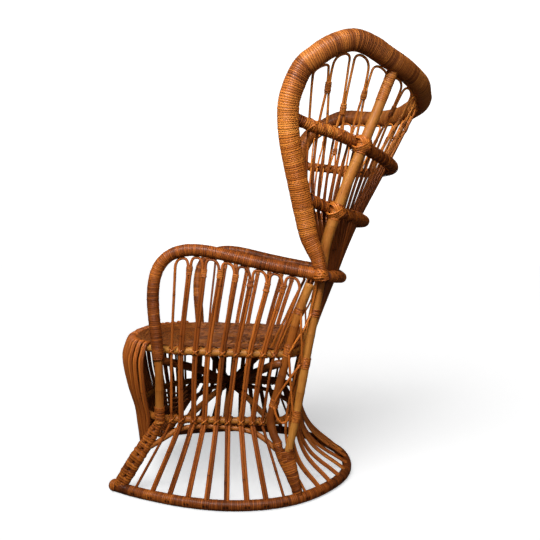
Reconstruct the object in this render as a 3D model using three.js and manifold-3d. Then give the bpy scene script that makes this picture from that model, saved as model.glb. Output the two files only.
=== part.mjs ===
// Rattan peacock chair with a wing back, hairpin reed panels and a flared base ring.
// Millimetres, +Z up, chair front at -Y, sitter's left at +X, floor at z = 0.
import * as THREE from 'three';
import { mergeVertices } from 'three/addons/utils/BufferGeometryUtils.js';
import Module from 'manifold-3d';

const wasm = await Module();
wasm.setup();
const { Manifold, Mesh: ManifoldMesh } = wasm;

// ---- driving dimensions (mm) ----
const R_RING = 14;        // floor ring
const R_BORDER = 25;      // wrapped roll around the back
const R_ARM = 16;         // wrapped arm bow
const R_POST = 11.5;      // bare front post under the seat
const R_POLE = 13;        // straight back pole
const R_LEG = 11.5;       // inner rear leg
const R_HOOP = 14;        // wrapped back hoop
const R_SEAT_RAIL = 11;
const R_WAIST_RAIL = 10;
const R_SWAG = 8;
const R_ARCH = 7;
const R_BRACE = 10;
const R_REED = 3.5;
const GAP = 0.4;          // clearance between touching pieces
const FOOT_HALF_W = 22;   // flared front foot, half width
const FOOT_HALF_T = 10.5; // flared front foot, half thickness
const WAIST_Z = 211;
const SEAT_Z = 407;       // seat rail height at y = -300
const SEAT_RAKE = -0.023; // seat falls toward the back
const SEAT_UP = 7;        // seat top over the rail centre
const SEAT_DOWN = 5;
const BACK_HAIRPINS = 17;
const SIDE_HAIRPINS = 8;
const APRON_PAIRS = 22;
const PAIR = 4.2;         // half spacing of two reeds bound together

// centre lines, left half
const RING_HALF = [[222, -446], [250, -386], [274, -321], [301, -226], [313, -126], [303, -36], [276, 40], [228, 107], [160, 164], [85, 203], [0, 216]];
const BORDER_HALF = [[281, 135.9, 609.9], [282, 121.5, 662.1], [289, 100.8, 711.2], [302, 87.7, 773], [320, 75.7, 832.7], [339, 63.5, 891.2], [360, 53.8, 946.3], [376, 50.4, 996.7], [390, 56, 1044.4], [400, 83.5, 1104], [406, 117.4, 1131], [402, 155.5, 1155], [385, 202.8, 1172.6], [358, 245, 1169], [320, 288.5, 1155], [270, 337, 1141.5], [185, 389, 1129], [95, 414.5, 1125], [0, 431, 1125]];
const ARM = [[277, 119.1, 617.6], [278, 90.4, 622.8], [280, 34.9, 633.2], [283, -45.5, 649.8], [284, -126.5, 668.9], [285, -178, 678.6], [285, -223.6, 679.4], [284, -261.7, 668.3], [282, -289.6, 645.6], [279, -307.1, 612.1], [276, -314.9, 564.9], [273, -314.4, 510.7], [270, -309.7, 456.1], [266, -305.8, 400]];
const POST = [[268, -307.5, 430], [266, -305.8, 400], [258, -304.6, 328], [250, -306.6, 265], [244, -308.8, 205]];
const LEG = [[268, 104, 592], [264, 74.6, 516.2], [257, 43.9, 407.7], [249, 20.6, 313.5], [244, 2.6, 248.8], [244, -1.4, 215.7], [249, 7.1, 181.9], [254, 21.1, 156.7]];
const POLE = [[292, 309, 1130], [281, 284.5, 1067.1], [274, 241, 957.7], [264, 181, 806.8], [254, 143.9, 696], [248, 132.4, 611.1], [247, 122, 544.1], [249, 94.2, 396.3], [253, 68.3, 242.3], [256, 52.2, 166.6]];
const HOOP_UPPER = [[366, 60, 999], [335, 111.5, 985.4], [312, 149.5, 977.7], [280, 194.7, 966.2], [232, 244, 951], [168, 290, 939], [90, 328.5, 931], [0, 349, 928]];
const HOOP_MIDDLE = [[300, 100.7, 809.2], [264, 136, 795.3], [226, 174.8, 783.4], [178, 212.3, 775.5], [100, 247.4, 769.3], [0, 264, 767]];
const HOOP_LOWER = [[240, 158, 610], [212, 168, 608], [160, 178.1, 604.8], [85, 190, 600.5], [0, 195, 597]];
const SEAT_HALF = [[0, -438], [88, -430], [160, -402], [208, -358], [232, -312], [242, -250], [246, -180], [246, -100], [241, -20], [231, 40], [207, 63], [158, 73], [80, 78], [0, 80]];
const WAIST_HALF = [[0, -421], [88, -411], [155, -383], [198, -345], [219, -303], [224, -250], [226, -180], [226, -100], [223, -40], [219, 5], [203, 30], [155, 46], [80, 52], [0, 54]];
const FOOT = [[243, -312, 204], [240, -341, 157], [236, -385, 90], [230, -428, 20]];
const REAR_FOOT_LEG = [[254, 21.6, 155], [253.5, 38, 108], [253, 57, 60]];
const REAR_FOOT_POLE = [[256, 52.6, 165], [254, 53, 112], [253, 61, 66], [252, 72, 20]];
const SIDE_ARCH = [[238, -318, 148], [234, -290, 165], [227, -258, 183], [225, -202, 192], [225, -123, 192], [227, -61, 183], [235, -24, 168], [246, 14, 140]];
const SWAG_HALF = [[206, -332, 174], [165, -365, 142], [90, -399, 100], [0, -411, 82]];
const BRACE = [[259, -304, 384], [246, -297, 378], [125, -228, 330], [0, -150, 273], [-125, -74, 324], [-242, 6, 370], [-253, 31, 377]];

// stake positions along the chair side, front to back
const SIDE_RING_Y = [-375, -322, -270, -217, -165, -112, -59, -10, 36];
const SIDE_WAIST_Y = [-277, -249, -215, -185, -151, -120, -84.5, -54, -27];
const SIDE_SEAT_Y = [-269, -243, -204, -169, -130, -93.5, -58, -23, 6];
const SIDE_BIND_Y = [-252, -213, -174, -131, -90.5, -50, -6, 35, 76];

// where the back reeds pass the seat and the waist, left half
const BACK_SEAT_HALF = [[237, 74], [216, 88], [170, 96], [90, 100], [0, 102]];
const BACK_WAIST_HALF = [[229, 33], [210, 50], [160, 64], [85, 70], [0, 72]];
const SKIRT = [[150, 0.05], [98, 0.27], [68, 0.53], [45, 0.79]];
// pairs of back reeds that end on the waist rail; the others go on to the floor ring
const SHORT_PAIRS = [2, 5, 8, 9, 12, 15];

// ---- curve helpers ----
const V = (a) => new THREE.Vector3(a[0], a[1], a[2] ?? 0);
const mirror = (pts) => pts.map((p) => new THREE.Vector3(-p.x, p.y, p.z));
const sideOf = (pts, s) => (s > 0 ? pts : mirror(pts));
const fullOf = (half) => half.concat(mirror(half).reverse().slice(1));
const seatZ = (y) => SEAT_Z + SEAT_RAKE * (y + 300);

function spline(pts, n, closed = false) {
  const m = pts.length, out = [];
  for (let i = 0; i < (closed ? m : m - 1); i++) {
    const p1 = pts[i], p2 = pts[(i + 1) % m];
    const p0 = closed ? pts[(i - 1 + m) % m] : i > 0 ? pts[i - 1] : p1.clone().multiplyScalar(2).sub(p2);
    const p3 = closed ? pts[(i + 2) % m] : i + 2 < m ? pts[i + 2] : p2.clone().multiplyScalar(2).sub(p1);
    for (let k = 0; k < n; k++) {
      const t = k / n, t2 = t * t, t3 = t2 * t;
      const c = (a, b, d, e) => 0.5 * (2 * b + (-a + d) * t + (2 * a - 5 * b + 4 * d - e) * t2 + (-a + 3 * b - 3 * d + e) * t3);
      out.push(new THREE.Vector3(c(p0.x, p1.x, p2.x, p3.x), c(p0.y, p1.y, p2.y, p3.y), c(p0.z, p1.z, p2.z, p3.z)));
    }
  }
  if (!closed) out.push(pts[m - 1].clone());
  return out;
}

// a polyline that can be read by length
class Track {
  constructor(pts) {
    this.pts = pts;
    this.len = [0];
    for (let i = 1; i < pts.length; i++) this.len.push(this.len[i - 1] + pts[i].distanceTo(pts[i - 1]));
    this.total = this.len[pts.length - 1];
  }
  at(s) {
    const l = this.len;
    let i = 1;
    while (i < l.length - 1 && l[i] < s) i++;
    const t = (s - l[i - 1]) / (l[i] - l[i - 1]);
    return this.pts[i - 1].clone().lerp(this.pts[i], t);
  }
  dir(s) {
    return this.at(Math.min(s + 4, this.total)).sub(this.at(Math.max(s - 4, 0))).normalize();
  }
  whereY(y) {
    for (let i = 1; i < this.pts.length; i++) {
      const a = this.pts[i - 1].y, b = this.pts[i].y;
      if ((a - y) * (b - y) <= 0 && a !== b) return this.len[i - 1] + ((y - a) / (b - a)) * (this.len[i] - this.len[i - 1]);
    }
    return 0;
  }
}

// path made of given points, with frames that stay upright or roll as little as possible
class SampledPath extends THREE.Curve {
  constructor(pts, ref, closed) {
    super();
    this.list = closed ? pts.concat([pts[0].clone()]) : pts;
    this.ref = ref;
    this.loop = closed;
  }
  getPoint(t) {
    const f = t * (this.list.length - 1), i = Math.min(Math.floor(f), this.list.length - 2);
    return this.list[i].clone().lerp(this.list[i + 1], f - i);
  }
  getSpacedPoints() {
    return this.list.map((p) => p.clone());
  }
  computeFrenetFrames() {
    const P = this.list, n = P.length, tangents = [], normals = [], binormals = [];
    for (let i = 0; i < n; i++) {
      let a = P[Math.max(i - 1, 0)], b = P[Math.min(i + 1, n - 1)];
      if (this.loop && (i === 0 || i === n - 1)) { a = P[n - 2]; b = P[1]; }
      const d1 = P[i].clone().sub(a), d2 = b.clone().sub(P[i]);
      const t = new THREE.Vector3();
      if (d1.length() > 1e-9) t.add(d1.normalize());
      if (d2.length() > 1e-9) t.add(d2.normalize());
      tangents.push(t.normalize());
    }
    let prev = this.ref ? null : Math.abs(tangents[0].z) < 0.8 ? new THREE.Vector3(0, 0, 1) : new THREE.Vector3(1, 0, 0);
    for (let i = 0; i < n; i++) {
      const r = this.ref || prev, t = tangents[i];
      const nn = r.clone().sub(t.clone().multiplyScalar(r.dot(t))).normalize();
      normals.push(nn);
      binormals.push(new THREE.Vector3().crossVectors(t, nn));
      prev = nn;
    }
    return { tangents, normals, binormals };
  }
}

function polygon(r, sides) {
  const s = new THREE.Shape();
  for (let i = 0; i < sides; i++) {
    const a = ((i + 0.5) * 2 * Math.PI) / sides;
    const x = r * Math.cos(a), y = r * Math.sin(a);
    if (i === 0) s.moveTo(x, y); else s.lineTo(x, y);
  }
  s.closePath();
  return s;
}

function slab(hx, hy, c) {
  const s = new THREE.Shape();
  s.moveTo(hx, -hy + c); s.lineTo(hx, hy - c); s.lineTo(hx - c, hy); s.lineTo(-hx + c, hy);
  s.lineTo(-hx, hy - c); s.lineTo(-hx, -hy + c); s.lineTo(-hx + c, -hy); s.lineTo(hx - c, -hy);
  s.closePath();
  return s;
}

function toManifold(geometry) {
  let g = geometry.clone();
  for (const k of Object.keys(g.attributes)) if (k !== 'position') g.deleteAttribute(k);
  g = mergeVertices(g, 1e-4);
  const src = g.index.array, tri = [];
  for (let i = 0; i < src.length; i += 3) {
    if (src[i] !== src[i + 1] && src[i + 1] !== src[i + 2] && src[i] !== src[i + 2]) tri.push(src[i], src[i + 1], src[i + 2]);
  }
  const mesh = new ManifoldMesh({ numProp: 3, vertProperties: new Float32Array(g.attributes.position.array), triVerts: new Uint32Array(tri) });
  return new Manifold(mesh);
}

function sweep(pts, shape, ref = null, closed = false) {
  const path = new SampledPath(pts, ref, closed);
  const g = new THREE.ExtrudeGeometry(shape, { steps: path.list.length - 1, extrudePath: path, bevelEnabled: false, curveSegments: 1 });
  if (closed) {
    const flat = g.index ? g.toNonIndexed() : g;
    const walls = flat.groups.length > 1 ? flat.groups[1] : g.groups[1];
    const pos = flat.attributes.position.array.slice(walls.start * 3, (walls.start + walls.count) * 3);
    const open = new THREE.BufferGeometry();
    open.setAttribute('position', new THREE.BufferAttribute(pos, 3));
    return toManifold(open);
  }
  return toManifold(g);
}

const longer = (pts, d) => {
  const q = pts.map((p) => p.clone()), n = q.length;
  q[0].add(pts[0].clone().sub(pts[1]).setLength(d));
  q[n - 1].add(pts[n - 1].clone().sub(pts[n - 2]).setLength(d));
  return q;
};

// a rod and its slightly larger twin, used to keep neighbours clear of it
function rod(pts, r, sides, ref = null, closed = false) {
  const k = sides < 6 ? 1.06 : Math.sqrt((2 * Math.PI) / (sides * Math.sin((2 * Math.PI) / sides)));
  const body = sweep(pts, polygon(r * k, sides), ref, closed);
  const fat = sweep(closed ? pts : longer(pts, GAP), polygon(r * k + GAP / Math.cos(Math.PI / sides), sides), ref, closed);
  return { body, fat };
}

const join = (a, b) => ({ body: a.body.add(b.body), fat: a.fat.add(b.fat) });

// ---- assembly ----
const honey = { color: 0xb98548, roughness: 0.45 };
const caramel = { color: 0x9a5a28, roughness: 0.42 };
const reedTone = { color: 0x94562a, roughness: 0.4 };
const dark = { color: 0x6f3f1f, roughness: 0.5 };

const chair = new THREE.Group();
chair.name = 'peacock_chair';
const placed = [];

function place(name, piece, tone) {
  let m = piece.body;
  const b = m.boundingBox();
  for (const q of placed) {
    const c = q.box;
    let apart = false;
    for (let i = 0; i < 3; i++) if (b.min[i] > c.max[i] || b.max[i] < c.min[i]) apart = true;
    if (!apart) m = m.subtract(q.fat);
  }
  const bits = m.decompose();
  m = bits.reduce((x, y) => (y.volume() > x.volume() ? y : x));
  placed.push({ fat: piece.fat, box: piece.fat.boundingBox() });
  const out = m.getMesh();
  const g = new THREE.BufferGeometry();
  const pos = new Float32Array(out.numVert * 3);
  for (let i = 0; i < out.numVert; i++) for (let k = 0; k < 3; k++) pos[i * 3 + k] = out.vertProperties[i * out.numProp + k];
  g.setAttribute('position', new THREE.BufferAttribute(pos, 3));
  g.setIndex(new THREE.BufferAttribute(new Uint32Array(out.triVerts), 1));
  g.computeVertexNormals();
  const mesh = new THREE.Mesh(g, new THREE.MeshStandardMaterial({ color: tone.color, roughness: tone.roughness, metalness: 0 }));
  mesh.name = name;
  chair.add(mesh);
}

const SIDES = [['left', 1], ['right', -1]];
const UPZ = new THREE.Vector3(0, 0, 1);
const UPX = new THREE.Vector3(1, 0, 0);

// floor ring, open at the front, flat underneath
const ringHalf = RING_HALF.map((p) => V([p[0], p[1], R_RING]));
const ringLine = spline(fullOf(ringHalf), 2);
{
  const r = R_RING / Math.cos(Math.PI / 8);
  place('base_ring', { body: sweep(ringLine, polygon(r, 8), UPZ), fat: sweep(longer(ringLine, GAP), polygon(r + GAP * 1.1, 8), UPZ) }, caramel);
}
const ringTrack = new Track(spline(fullOf(ringHalf), 12));

// back border
const borderFull = fullOf(BORDER_HALF.map(V));
place('back_border', rod(spline(borderFull, 2), R_BORDER, 8), caramel);
const borderTrack = new Track(spline(borderFull, 10));

// straight poles, arms with the front posts, inner rear legs
for (const [side, s] of SIDES) place(`${side}_back_pole`, rod(sideOf(spline(POLE.map(V), 1), s), R_POLE, 8), honey);
for (const [side, s] of SIDES) {
  const bow = rod(sideOf(spline(ARM.map(V), 2), s), R_ARM, 8);
  const post = rod(sideOf(spline(POST.map(V), 1), s), R_POST, 8);
  place(`${side}_arm_bow`, join(bow, post), caramel);
}
for (const [side, s] of SIDES) place(`${side}_rear_leg`, rod(sideOf(spline(LEG.map(V), 2), s), R_LEG, 7), honey);

// rails
const loopOf = (half, z) => {
  const h = half.map((p) => V([p[0], p[1], z(p[1])]));
  return h.concat(mirror(h).reverse().slice(1, -1));
};
const seatLoop = loopOf(SEAT_HALF, seatZ);
const waistLoop = loopOf(WAIST_HALF, () => WAIST_Z);
place('seat_rail', rod(spline(seatLoop, 1, true), R_SEAT_RAIL, 8, UPZ, true), honey);
place('waist_rail', rod(spline(waistLoop, 1, true), R_WAIST_RAIL, 8, UPZ, true), honey);
const seatTrack = new Track(spline(SEAT_HALF.map((p) => V([p[0], p[1], seatZ(p[1])])), 10));
const waistTrack = new Track(spline(WAIST_HALF.map((p) => V([p[0], p[1], WAIST_Z])), 10));

// back hoops
const hoopUpper = fullOf(HOOP_UPPER.map(V)), hoopMiddle = fullOf(HOOP_MIDDLE.map(V)), hoopLower = fullOf(HOOP_LOWER.map(V));
place('upper_back_hoop', rod(spline(hoopUpper, 2), R_HOOP, 8), caramel);
place('middle_back_hoop', rod(spline(hoopMiddle, 2), R_HOOP, 8), caramel);
place('lower_back_hoop', rod(spline(hoopLower, 2), R_HOOP, 8), caramel);

// feet
for (const [side, s] of SIDES) {
  const p = sideOf(spline(FOOT.map(V), 2), s);
  place(`${side}_front_foot`, {
    body: sweep(p, slab(FOOT_HALF_T, FOOT_HALF_W, 5), UPX),
    fat: sweep(longer(p, GAP), slab(FOOT_HALF_T + GAP, FOOT_HALF_W + GAP, 5), UPX),
  }, caramel);
}
for (const [side, s] of SIDES) {
  const a = rod(sideOf(spline(REAR_FOOT_LEG.map(V), 2), s), 14, 8);
  const b = rod(sideOf(spline(REAR_FOOT_POLE.map(V), 2), s), 15, 8);
  place(`${side}_rear_foot`, join(a, b), caramel);
}

// under-seat members
const swagLine = fullOf(SWAG_HALF.map(V));
place('front_swag', rod(spline(swagLine, 2), R_SWAG, 6), dark);
for (const [side, s] of SIDES) place(`${side}_side_arch`, rod(sideOf(spline(SIDE_ARCH.map(V), 2), s), R_ARCH, 6), dark);
place('cross_brace_a', rod(spline(BRACE.map(V), 2), R_BRACE, 6), dark);
place('cross_brace_b', rod(mirror(spline(BRACE.map((p) => V([p[0], p[1], p[2] - 18 * Math.max(0, 1 - Math.abs(p[0]) / 240)])), 2)), R_BRACE, 6), dark);

// woven seat
{
  const shape = new THREE.Shape();
  const loop = spline(seatLoop, 1, true);
  const inset = R_SEAT_RAIL + 1.2;
  loop.forEach((p, i) => {
    const a = loop[(i - 1 + loop.length) % loop.length], b = loop[(i + 1) % loop.length];
    const t = b.clone().sub(a).setZ(0).normalize();
    const out = new THREE.Vector3(t.y, -t.x, 0);
    if (out.x * p.x + out.y * (p.y + 180) < 0) out.negate();
    const x = p.x - out.x * inset, y = p.y - out.y * inset;
    if (i === 0) shape.moveTo(x, y); else shape.lineTo(x, y);
  });
  shape.closePath();
  const g = new THREE.ExtrudeGeometry(shape, { depth: SEAT_UP + SEAT_DOWN, bevelEnabled: false });
  const m = new THREE.Matrix4().set(1, 0, 0, 0, 0, 1, 0, 0, 0, SEAT_RAKE, 1, SEAT_Z + SEAT_RAKE * 300 - SEAT_DOWN, 0, 0, 0, 1);
  g.applyMatrix4(m);
  const body = toManifold(g);
  place('seat_panel', { body, fat: body }, caramel);
}

// apron of reeds rolled over the front of the seat
const seatOut = (s) => { const d = seatTrack.dir(s); return new THREE.Vector3(d.y, -d.x, 0).normalize(); };
const waistOut = (s) => { const d = waistTrack.dir(s); return new THREE.Vector3(d.y, -d.x, 0).normalize(); };
{
  const half = APRON_PAIRS / 2;
  const sEnd = seatTrack.whereY(-334), wEnd = waistTrack.whereY(-334);
  const swag = new Track(spline(SWAG_HALF.map(V).reverse(), 10));
  const gEnd = swag.total - 12;
  let all = null;
  const top = [], low = [];
  for (let j = 0; j < 2 * half; j++) {
    const f = (Math.floor(j / 2) + 0.5) / half, shift = j % 2 ? PAIR : -PAIR;
    const sAt = f * sEnd + shift, wAt = f * wEnd + shift, gAt = f * gEnd + shift;
    const sp = seatTrack.at(sAt), so = seatOut(sAt);
    const wp = waistTrack.at(wAt), wo = waistOut(wAt);
    const gp = swag.at(gAt), gd = swag.dir(gAt);
    const go = new THREE.Vector3(gd.y, -gd.x, 0).normalize();
    const off = (p, o, d, dz) => p.clone().addScaledVector(o, d).add(new THREE.Vector3(0, 0, dz));
    const w = off(wp, wo, R_WAIST_RAIL + R_REED + 2, 0);
    const bulge = off(sp, so, 31, -44);
    const mid = bulge.clone().lerp(w, 0.52).addScaledVector(so, 5);
    const g = off(gp, go, R_SWAG + R_REED + 2, 0);
    const pts = [off(sp, so, -8, R_SEAT_RAIL + R_REED + 2), off(sp, so, 5, R_SEAT_RAIL + R_REED + 2), off(sp, so, 15, 10), off(sp, so, 21, -6), off(sp, so, 28, -24), bulge, mid, w, w.clone().lerp(g, 0.55), g];
    top.push(pts[0]); low.push(pts[pts.length - 1]);
    for (const q of [pts, mirror(pts)]) {
      const r = rod(q, R_REED, 4);
      all = all ? join(all, r) : r;
    }
  }
  const hem = (list) => mirror(list).reverse().concat(list);
  all = join(all, rod(spline(hem(top), 1), R_REED, 6));
  all = join(all, rod(spline(hem(low), 1), R_REED, 6));
  place('front_apron', all, reedTone);
}

// side hairpins between the arm and the ring
const armTrack = new Track(spline(ARM.slice(0, 9).map(V), 10));
function sideStake(k) {
  const ring = ringTrack.at(ringTrack.whereY(SIDE_RING_Y[k])).setZ(2 * R_RING - 3);
  const ws = waistTrack.whereY(SIDE_WAIST_Y[k]);
  const waist = waistTrack.at(ws).addScaledVector(waistOut(ws), R_WAIST_RAIL + R_REED + 2);
  const ss = seatTrack.whereY(SIDE_SEAT_Y[k]);
  const seat = seatTrack.at(ss).addScaledVector(seatOut(ss), R_SEAT_RAIL + R_REED + 2);
  const arm = armTrack.at(armTrack.whereY(SIDE_BIND_Y[k]));
  return { ring, waist, seat, bind: arm.setZ(arm.z - R_ARM - 30) };
}
function archOver(a, b, apex, n, e = 0.8) {
  const c = a.clone().lerp(b, 0.5), w = b.clone().sub(a).multiplyScalar(0.5), h = apex.clone().sub(c), out = [];
  for (let i = 1; i < n; i++) {
    const t = (Math.PI * i) / n, cx = Math.cos(t), sx = Math.sin(t);
    out.push(c.clone().addScaledVector(w, -Math.sign(cx) * Math.pow(Math.abs(cx), e)).addScaledVector(h, Math.pow(sx, e)));
  }
  return out;
}
function sideHairpin(k) {
  const leg = (i, away) => {
    const st = sideStake(i);
    const shift = (p, d) => p.clone().add(new THREE.Vector3(0, away * d, 0));
    const single = (i === 0 || i === SIDE_HAIRPINS) ? 0 : 1;
    const w = shift(st.waist, 4.6 * single), r = shift(st.ring, 4.8 * single);
    return [r, w.clone().lerp(r, 0.12).add(new THREE.Vector3(0, 0, -4)), w, w.clone().lerp(shift(st.seat, 4.6 * single), 0.15), shift(st.seat, 4.6 * single), shift(st.bind, PAIR * single)];
  };
  const a = leg(k, 1), b = leg(k + 1, -1);
  const p = a[a.length - 1], q = b[b.length - 1];
  const apexArm = armTrack.at(armTrack.whereY((p.y + q.y) / 2));
  const apex = apexArm.setZ(apexArm.z - R_ARM - R_REED - 1.2);
  return a.concat(archOver(p, q, apex, 6)).concat(b.reverse());
}
for (const [side, s] of SIDES) {
  for (let k = 0; k < SIDE_HAIRPINS; k++) place(`${side}_side_reed_${k + 1}`, rod(sideOf(sideHairpin(k), s), R_REED, 5), reedTone);
}

// back hairpins from the ring, behind the seat, inside the hoops, up to the border
function levelOf(half, margin, inset) {
  const t = new Track(spline(fullOf(half), 10));
  const n = BACK_HAIRPINS * 2;
  const out = [];
  for (let i = 0; i < n; i++) {
    const s = margin + ((i + 0.5) / n) * (t.total - 2 * margin);
    const d = t.dir(s);
    const inner = new THREE.Vector3(-d.y, d.x, 0).normalize();
    if (inner.y > 0 && Math.abs(inner.y) > 0.2) inner.negate();
    out.push(t.at(s).addScaledVector(inner, inset));
  }
  return out;
}
const lvUpper = levelOf(HOOP_UPPER.map(V), 46, R_HOOP + R_REED + 4.5);
const lvMiddle = levelOf(HOOP_MIDDLE.map(V), 2, R_HOOP + R_REED + 4.5);
const lvLower = levelOf(HOOP_LOWER.map(V), 12, R_HOOP + R_REED + 4.5);
const lvSeat = levelOf(BACK_SEAT_HALF.map((p) => V([p[0], p[1], seatZ(p[1])])), 0, 0);
const lvWaist = levelOf(BACK_WAIST_HALF.map((p) => V([p[0], p[1], WAIST_Z])), 0, 0);
const ringA = ringTrack.whereY(92), ringB = ringTrack.total - ringA;
const longPairs = Array.from({ length: BACK_HAIRPINS + 1 }, (_, p) => p).filter((p) => !SHORT_PAIRS.includes(p));
const lvRing = lvSeat.map((_, i) => {
  const p = Math.floor((i + 1) / 2), shift = i === 0 || i === 33 ? 0 : i % 2 ? -4.6 : 4.6;
  const f = Math.max(longPairs.indexOf(p), 0) / (longPairs.length - 1);
  return ringTrack.at(ringA + f * (ringB - ringA) + shift).setZ(2 * R_RING - 3);
});
const apexFrom = new Track(spline(borderFull.slice(0, 11), 10)).total;
const apexStep = (borderTrack.total - 2 * apexFrom) / (BACK_HAIRPINS - 1);
function fromBorder(u, d) {
  const s = apexFrom + u * apexStep;
  const p = borderTrack.at(s), t = borderTrack.dir(s);
  const f = Math.min(Math.max((u + 0.5) / BACK_HAIRPINS, 0), 1) * (lvUpper.length - 1);
  const i = Math.min(Math.floor(f), lvUpper.length - 2);
  const target = lvUpper[i].clone().lerp(lvUpper[i + 1], f - i);
  const inn = target.sub(p);
  inn.addScaledVector(t, -inn.dot(t)).normalize();
  return { p: p.addScaledVector(inn, d), t };
}
function backHairpin(h) {
  const leg = (i, pair, sign) => {
    const edge = pair === 0 || pair === BACK_HAIRPINS;
    const b = fromBorder(pair - 0.5, R_BORDER + (edge ? R_REED + 4 : 0));
    const foot = edge ? b.p : lvUpper[2 * pair - 1].clone().lerp(lvUpper[2 * pair], 0.5);
    const spread = pair === 2 || pair === BACK_HAIRPINS - 2 ? [[0.62, PAIR], [0.3, 5], [0.12, 6.7]] : [[0.38, PAIR], [0.21, 4.8], [0.12, 6.2]];
    const top = edge ? [b.p] : spread.map(([f, d]) => b.p.clone().lerp(foot, f).addScaledVector(b.t, sign * d));
    const w = lvWaist[i], r = lvRing[i];
    const flare = SKIRT.map(([z, f]) => new THREE.Vector3(w.x + (r.x - w.x) * f, w.y + (r.y - w.y) * f, z)).reverse();
    const start = SHORT_PAIRS.includes(pair) ? [w.clone().setZ(w.z - R_WAIST_RAIL - 4)] : [r, ...flare];
    return [...start, w, lvSeat[i].clone(), lvLower[i].clone(), lvMiddle[i].clone(), lvUpper[i].clone(), ...top];
  };
  const a = leg(2 * h, h, 1), b = leg(2 * h + 1, h + 1, -1);
  const apex = fromBorder(h, R_BORDER + R_REED + 1.6).p;
  return a.concat(archOver(a[a.length - 1], b[b.length - 1], apex, 6, 0.86)).concat(b.reverse());
}
for (let h = 0; h < BACK_HAIRPINS; h++) place(`back_reed_${h + 1}`, rod(backHairpin(h), R_REED, 5), reedTone);

// wound lashing at each shoulder, filling round the members that meet there
for (const [side, s] of SIDES) {
  const ball = (k) => {
    const g = new THREE.SphereGeometry(1, 8, 5);
    g.scale(38 + k, 36 + k, 27 + k);
    g.translate(s * 268, 130, 612);
    return toManifold(g);
  };
  place(`${side}_shoulder_lashing`, { body: ball(0), fat: ball(GAP) }, caramel);
}

export default chair;
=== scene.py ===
# Rattan peacock chair: wound cane, reeds, poles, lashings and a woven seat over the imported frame.
# Tables are in millimetres in the part's own frame; meshes are written in metres.
import math

import bpy
import numpy as np
from mathutils import Matrix, Vector


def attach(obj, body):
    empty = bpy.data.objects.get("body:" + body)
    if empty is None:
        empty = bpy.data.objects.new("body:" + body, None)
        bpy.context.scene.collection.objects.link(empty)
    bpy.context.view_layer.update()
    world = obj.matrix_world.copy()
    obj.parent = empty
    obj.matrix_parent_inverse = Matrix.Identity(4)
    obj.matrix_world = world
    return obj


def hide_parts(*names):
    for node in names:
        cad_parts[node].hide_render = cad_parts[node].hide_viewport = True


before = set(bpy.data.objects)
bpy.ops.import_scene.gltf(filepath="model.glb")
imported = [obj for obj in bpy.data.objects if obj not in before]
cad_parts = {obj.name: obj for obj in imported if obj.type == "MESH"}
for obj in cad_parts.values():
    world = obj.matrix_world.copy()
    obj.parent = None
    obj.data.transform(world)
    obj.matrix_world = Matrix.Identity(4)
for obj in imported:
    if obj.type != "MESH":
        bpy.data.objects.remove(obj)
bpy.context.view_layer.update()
RNG = np.random.default_rng(11)

# ---------------------------------------------------------------- measured centre lines
R_RING, R_BORDER, R_ARM, R_POST, R_POLE, R_LEG, R_HOOP = 14.0, 25.0, 16.4, 11.5, 13.0, 11.5, 14.5
R_SEAT, R_WAIST, R_SWAG, R_ARCH, R_BRACE, R_REED = 11.0, 10.0, 8.0, 7.5, 10.0, 3.7
WAIST_Z, SEAT_Z, SEAT_RAKE = 211.0, 407.0, -0.023
N_BACK, N_SIDE = 17, 8

RING_HALF = [[222, -446], [250, -386], [274, -321], [301, -226], [313, -126], [303, -36], [276, 40], [228, 107], [160, 164], [85, 203], [0, 216]]
BORDER_HALF = [[281, 135.9, 609.9], [282, 121.5, 662.1], [289, 100.8, 711.2], [302, 87.7, 773], [320, 75.7, 832.7], [339, 63.5, 891.2], [360, 53.8, 946.3], [376, 50.4, 996.7], [390, 56, 1044.4], [400, 83.5, 1104], [406, 117.4, 1131], [402, 155.5, 1155], [385, 202.8, 1172.6], [358, 245, 1169], [320, 288.5, 1155], [270, 337, 1141.5], [185, 389, 1129], [95, 414.5, 1125], [0, 431, 1125]]
ARM = [[277, 119.1, 617.6], [278, 90.4, 622.8], [280, 34.9, 633.2], [283, -45.5, 649.8], [284, -126.5, 668.9], [285, -178, 678.6], [285, -223.6, 679.4], [284, -261.7, 668.3], [282, -289.6, 645.6], [279, -307.1, 612.1], [276, -314.9, 564.9], [273, -314.4, 510.7], [270, -309.7, 456.1], [266, -305.8, 400]]
POST_LOW = [[258, -304.6, 328], [250, -306.6, 265], [244, -308.8, 205]]
LEG = [[268, 104, 592], [264, 74.6, 516.2], [257, 43.9, 407.7], [249, 20.6, 313.5], [244, 2.6, 248.8], [244, -1.4, 215.7], [249, 7.1, 181.9], [254, 21.1, 156.7]]
POLE = [[292, 309, 1130], [281, 284.5, 1067.1], [274, 241, 957.7], [264, 181, 806.8], [254, 143.9, 696], [248, 132.4, 611.1], [247, 122, 544.1], [249, 94.2, 396.3], [253, 68.3, 242.3], [256, 52.2, 166.6]]
HOOP_UPPER = [[366, 60, 999], [335, 111.5, 985.4], [312, 149.5, 977.7], [280, 194.7, 966.2], [232, 244, 951], [168, 290, 939], [90, 328.5, 931], [0, 349, 928]]
HOOP_MIDDLE = [[300, 100.7, 809.2], [264, 136, 795.3], [226, 174.8, 783.4], [178, 212.3, 775.5], [100, 247.4, 769.3], [0, 264, 767]]
HOOP_LOWER = [[240, 158, 610], [212, 168, 608], [160, 178.1, 604.8], [85, 190, 600.5], [0, 195, 597]]
SEAT_HALF = [[0, -438], [88, -430], [160, -402], [208, -358], [232, -312], [242, -250], [246, -180], [246, -100], [241, -20], [231, 40], [207, 63], [158, 73], [80, 78], [0, 80]]
WAIST_HALF = [[0, -421], [88, -411], [155, -383], [198, -345], [219, -303], [224, -250], [226, -180], [226, -100], [223, -40], [219, 5], [203, 30], [155, 46], [80, 52], [0, 54]]
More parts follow.
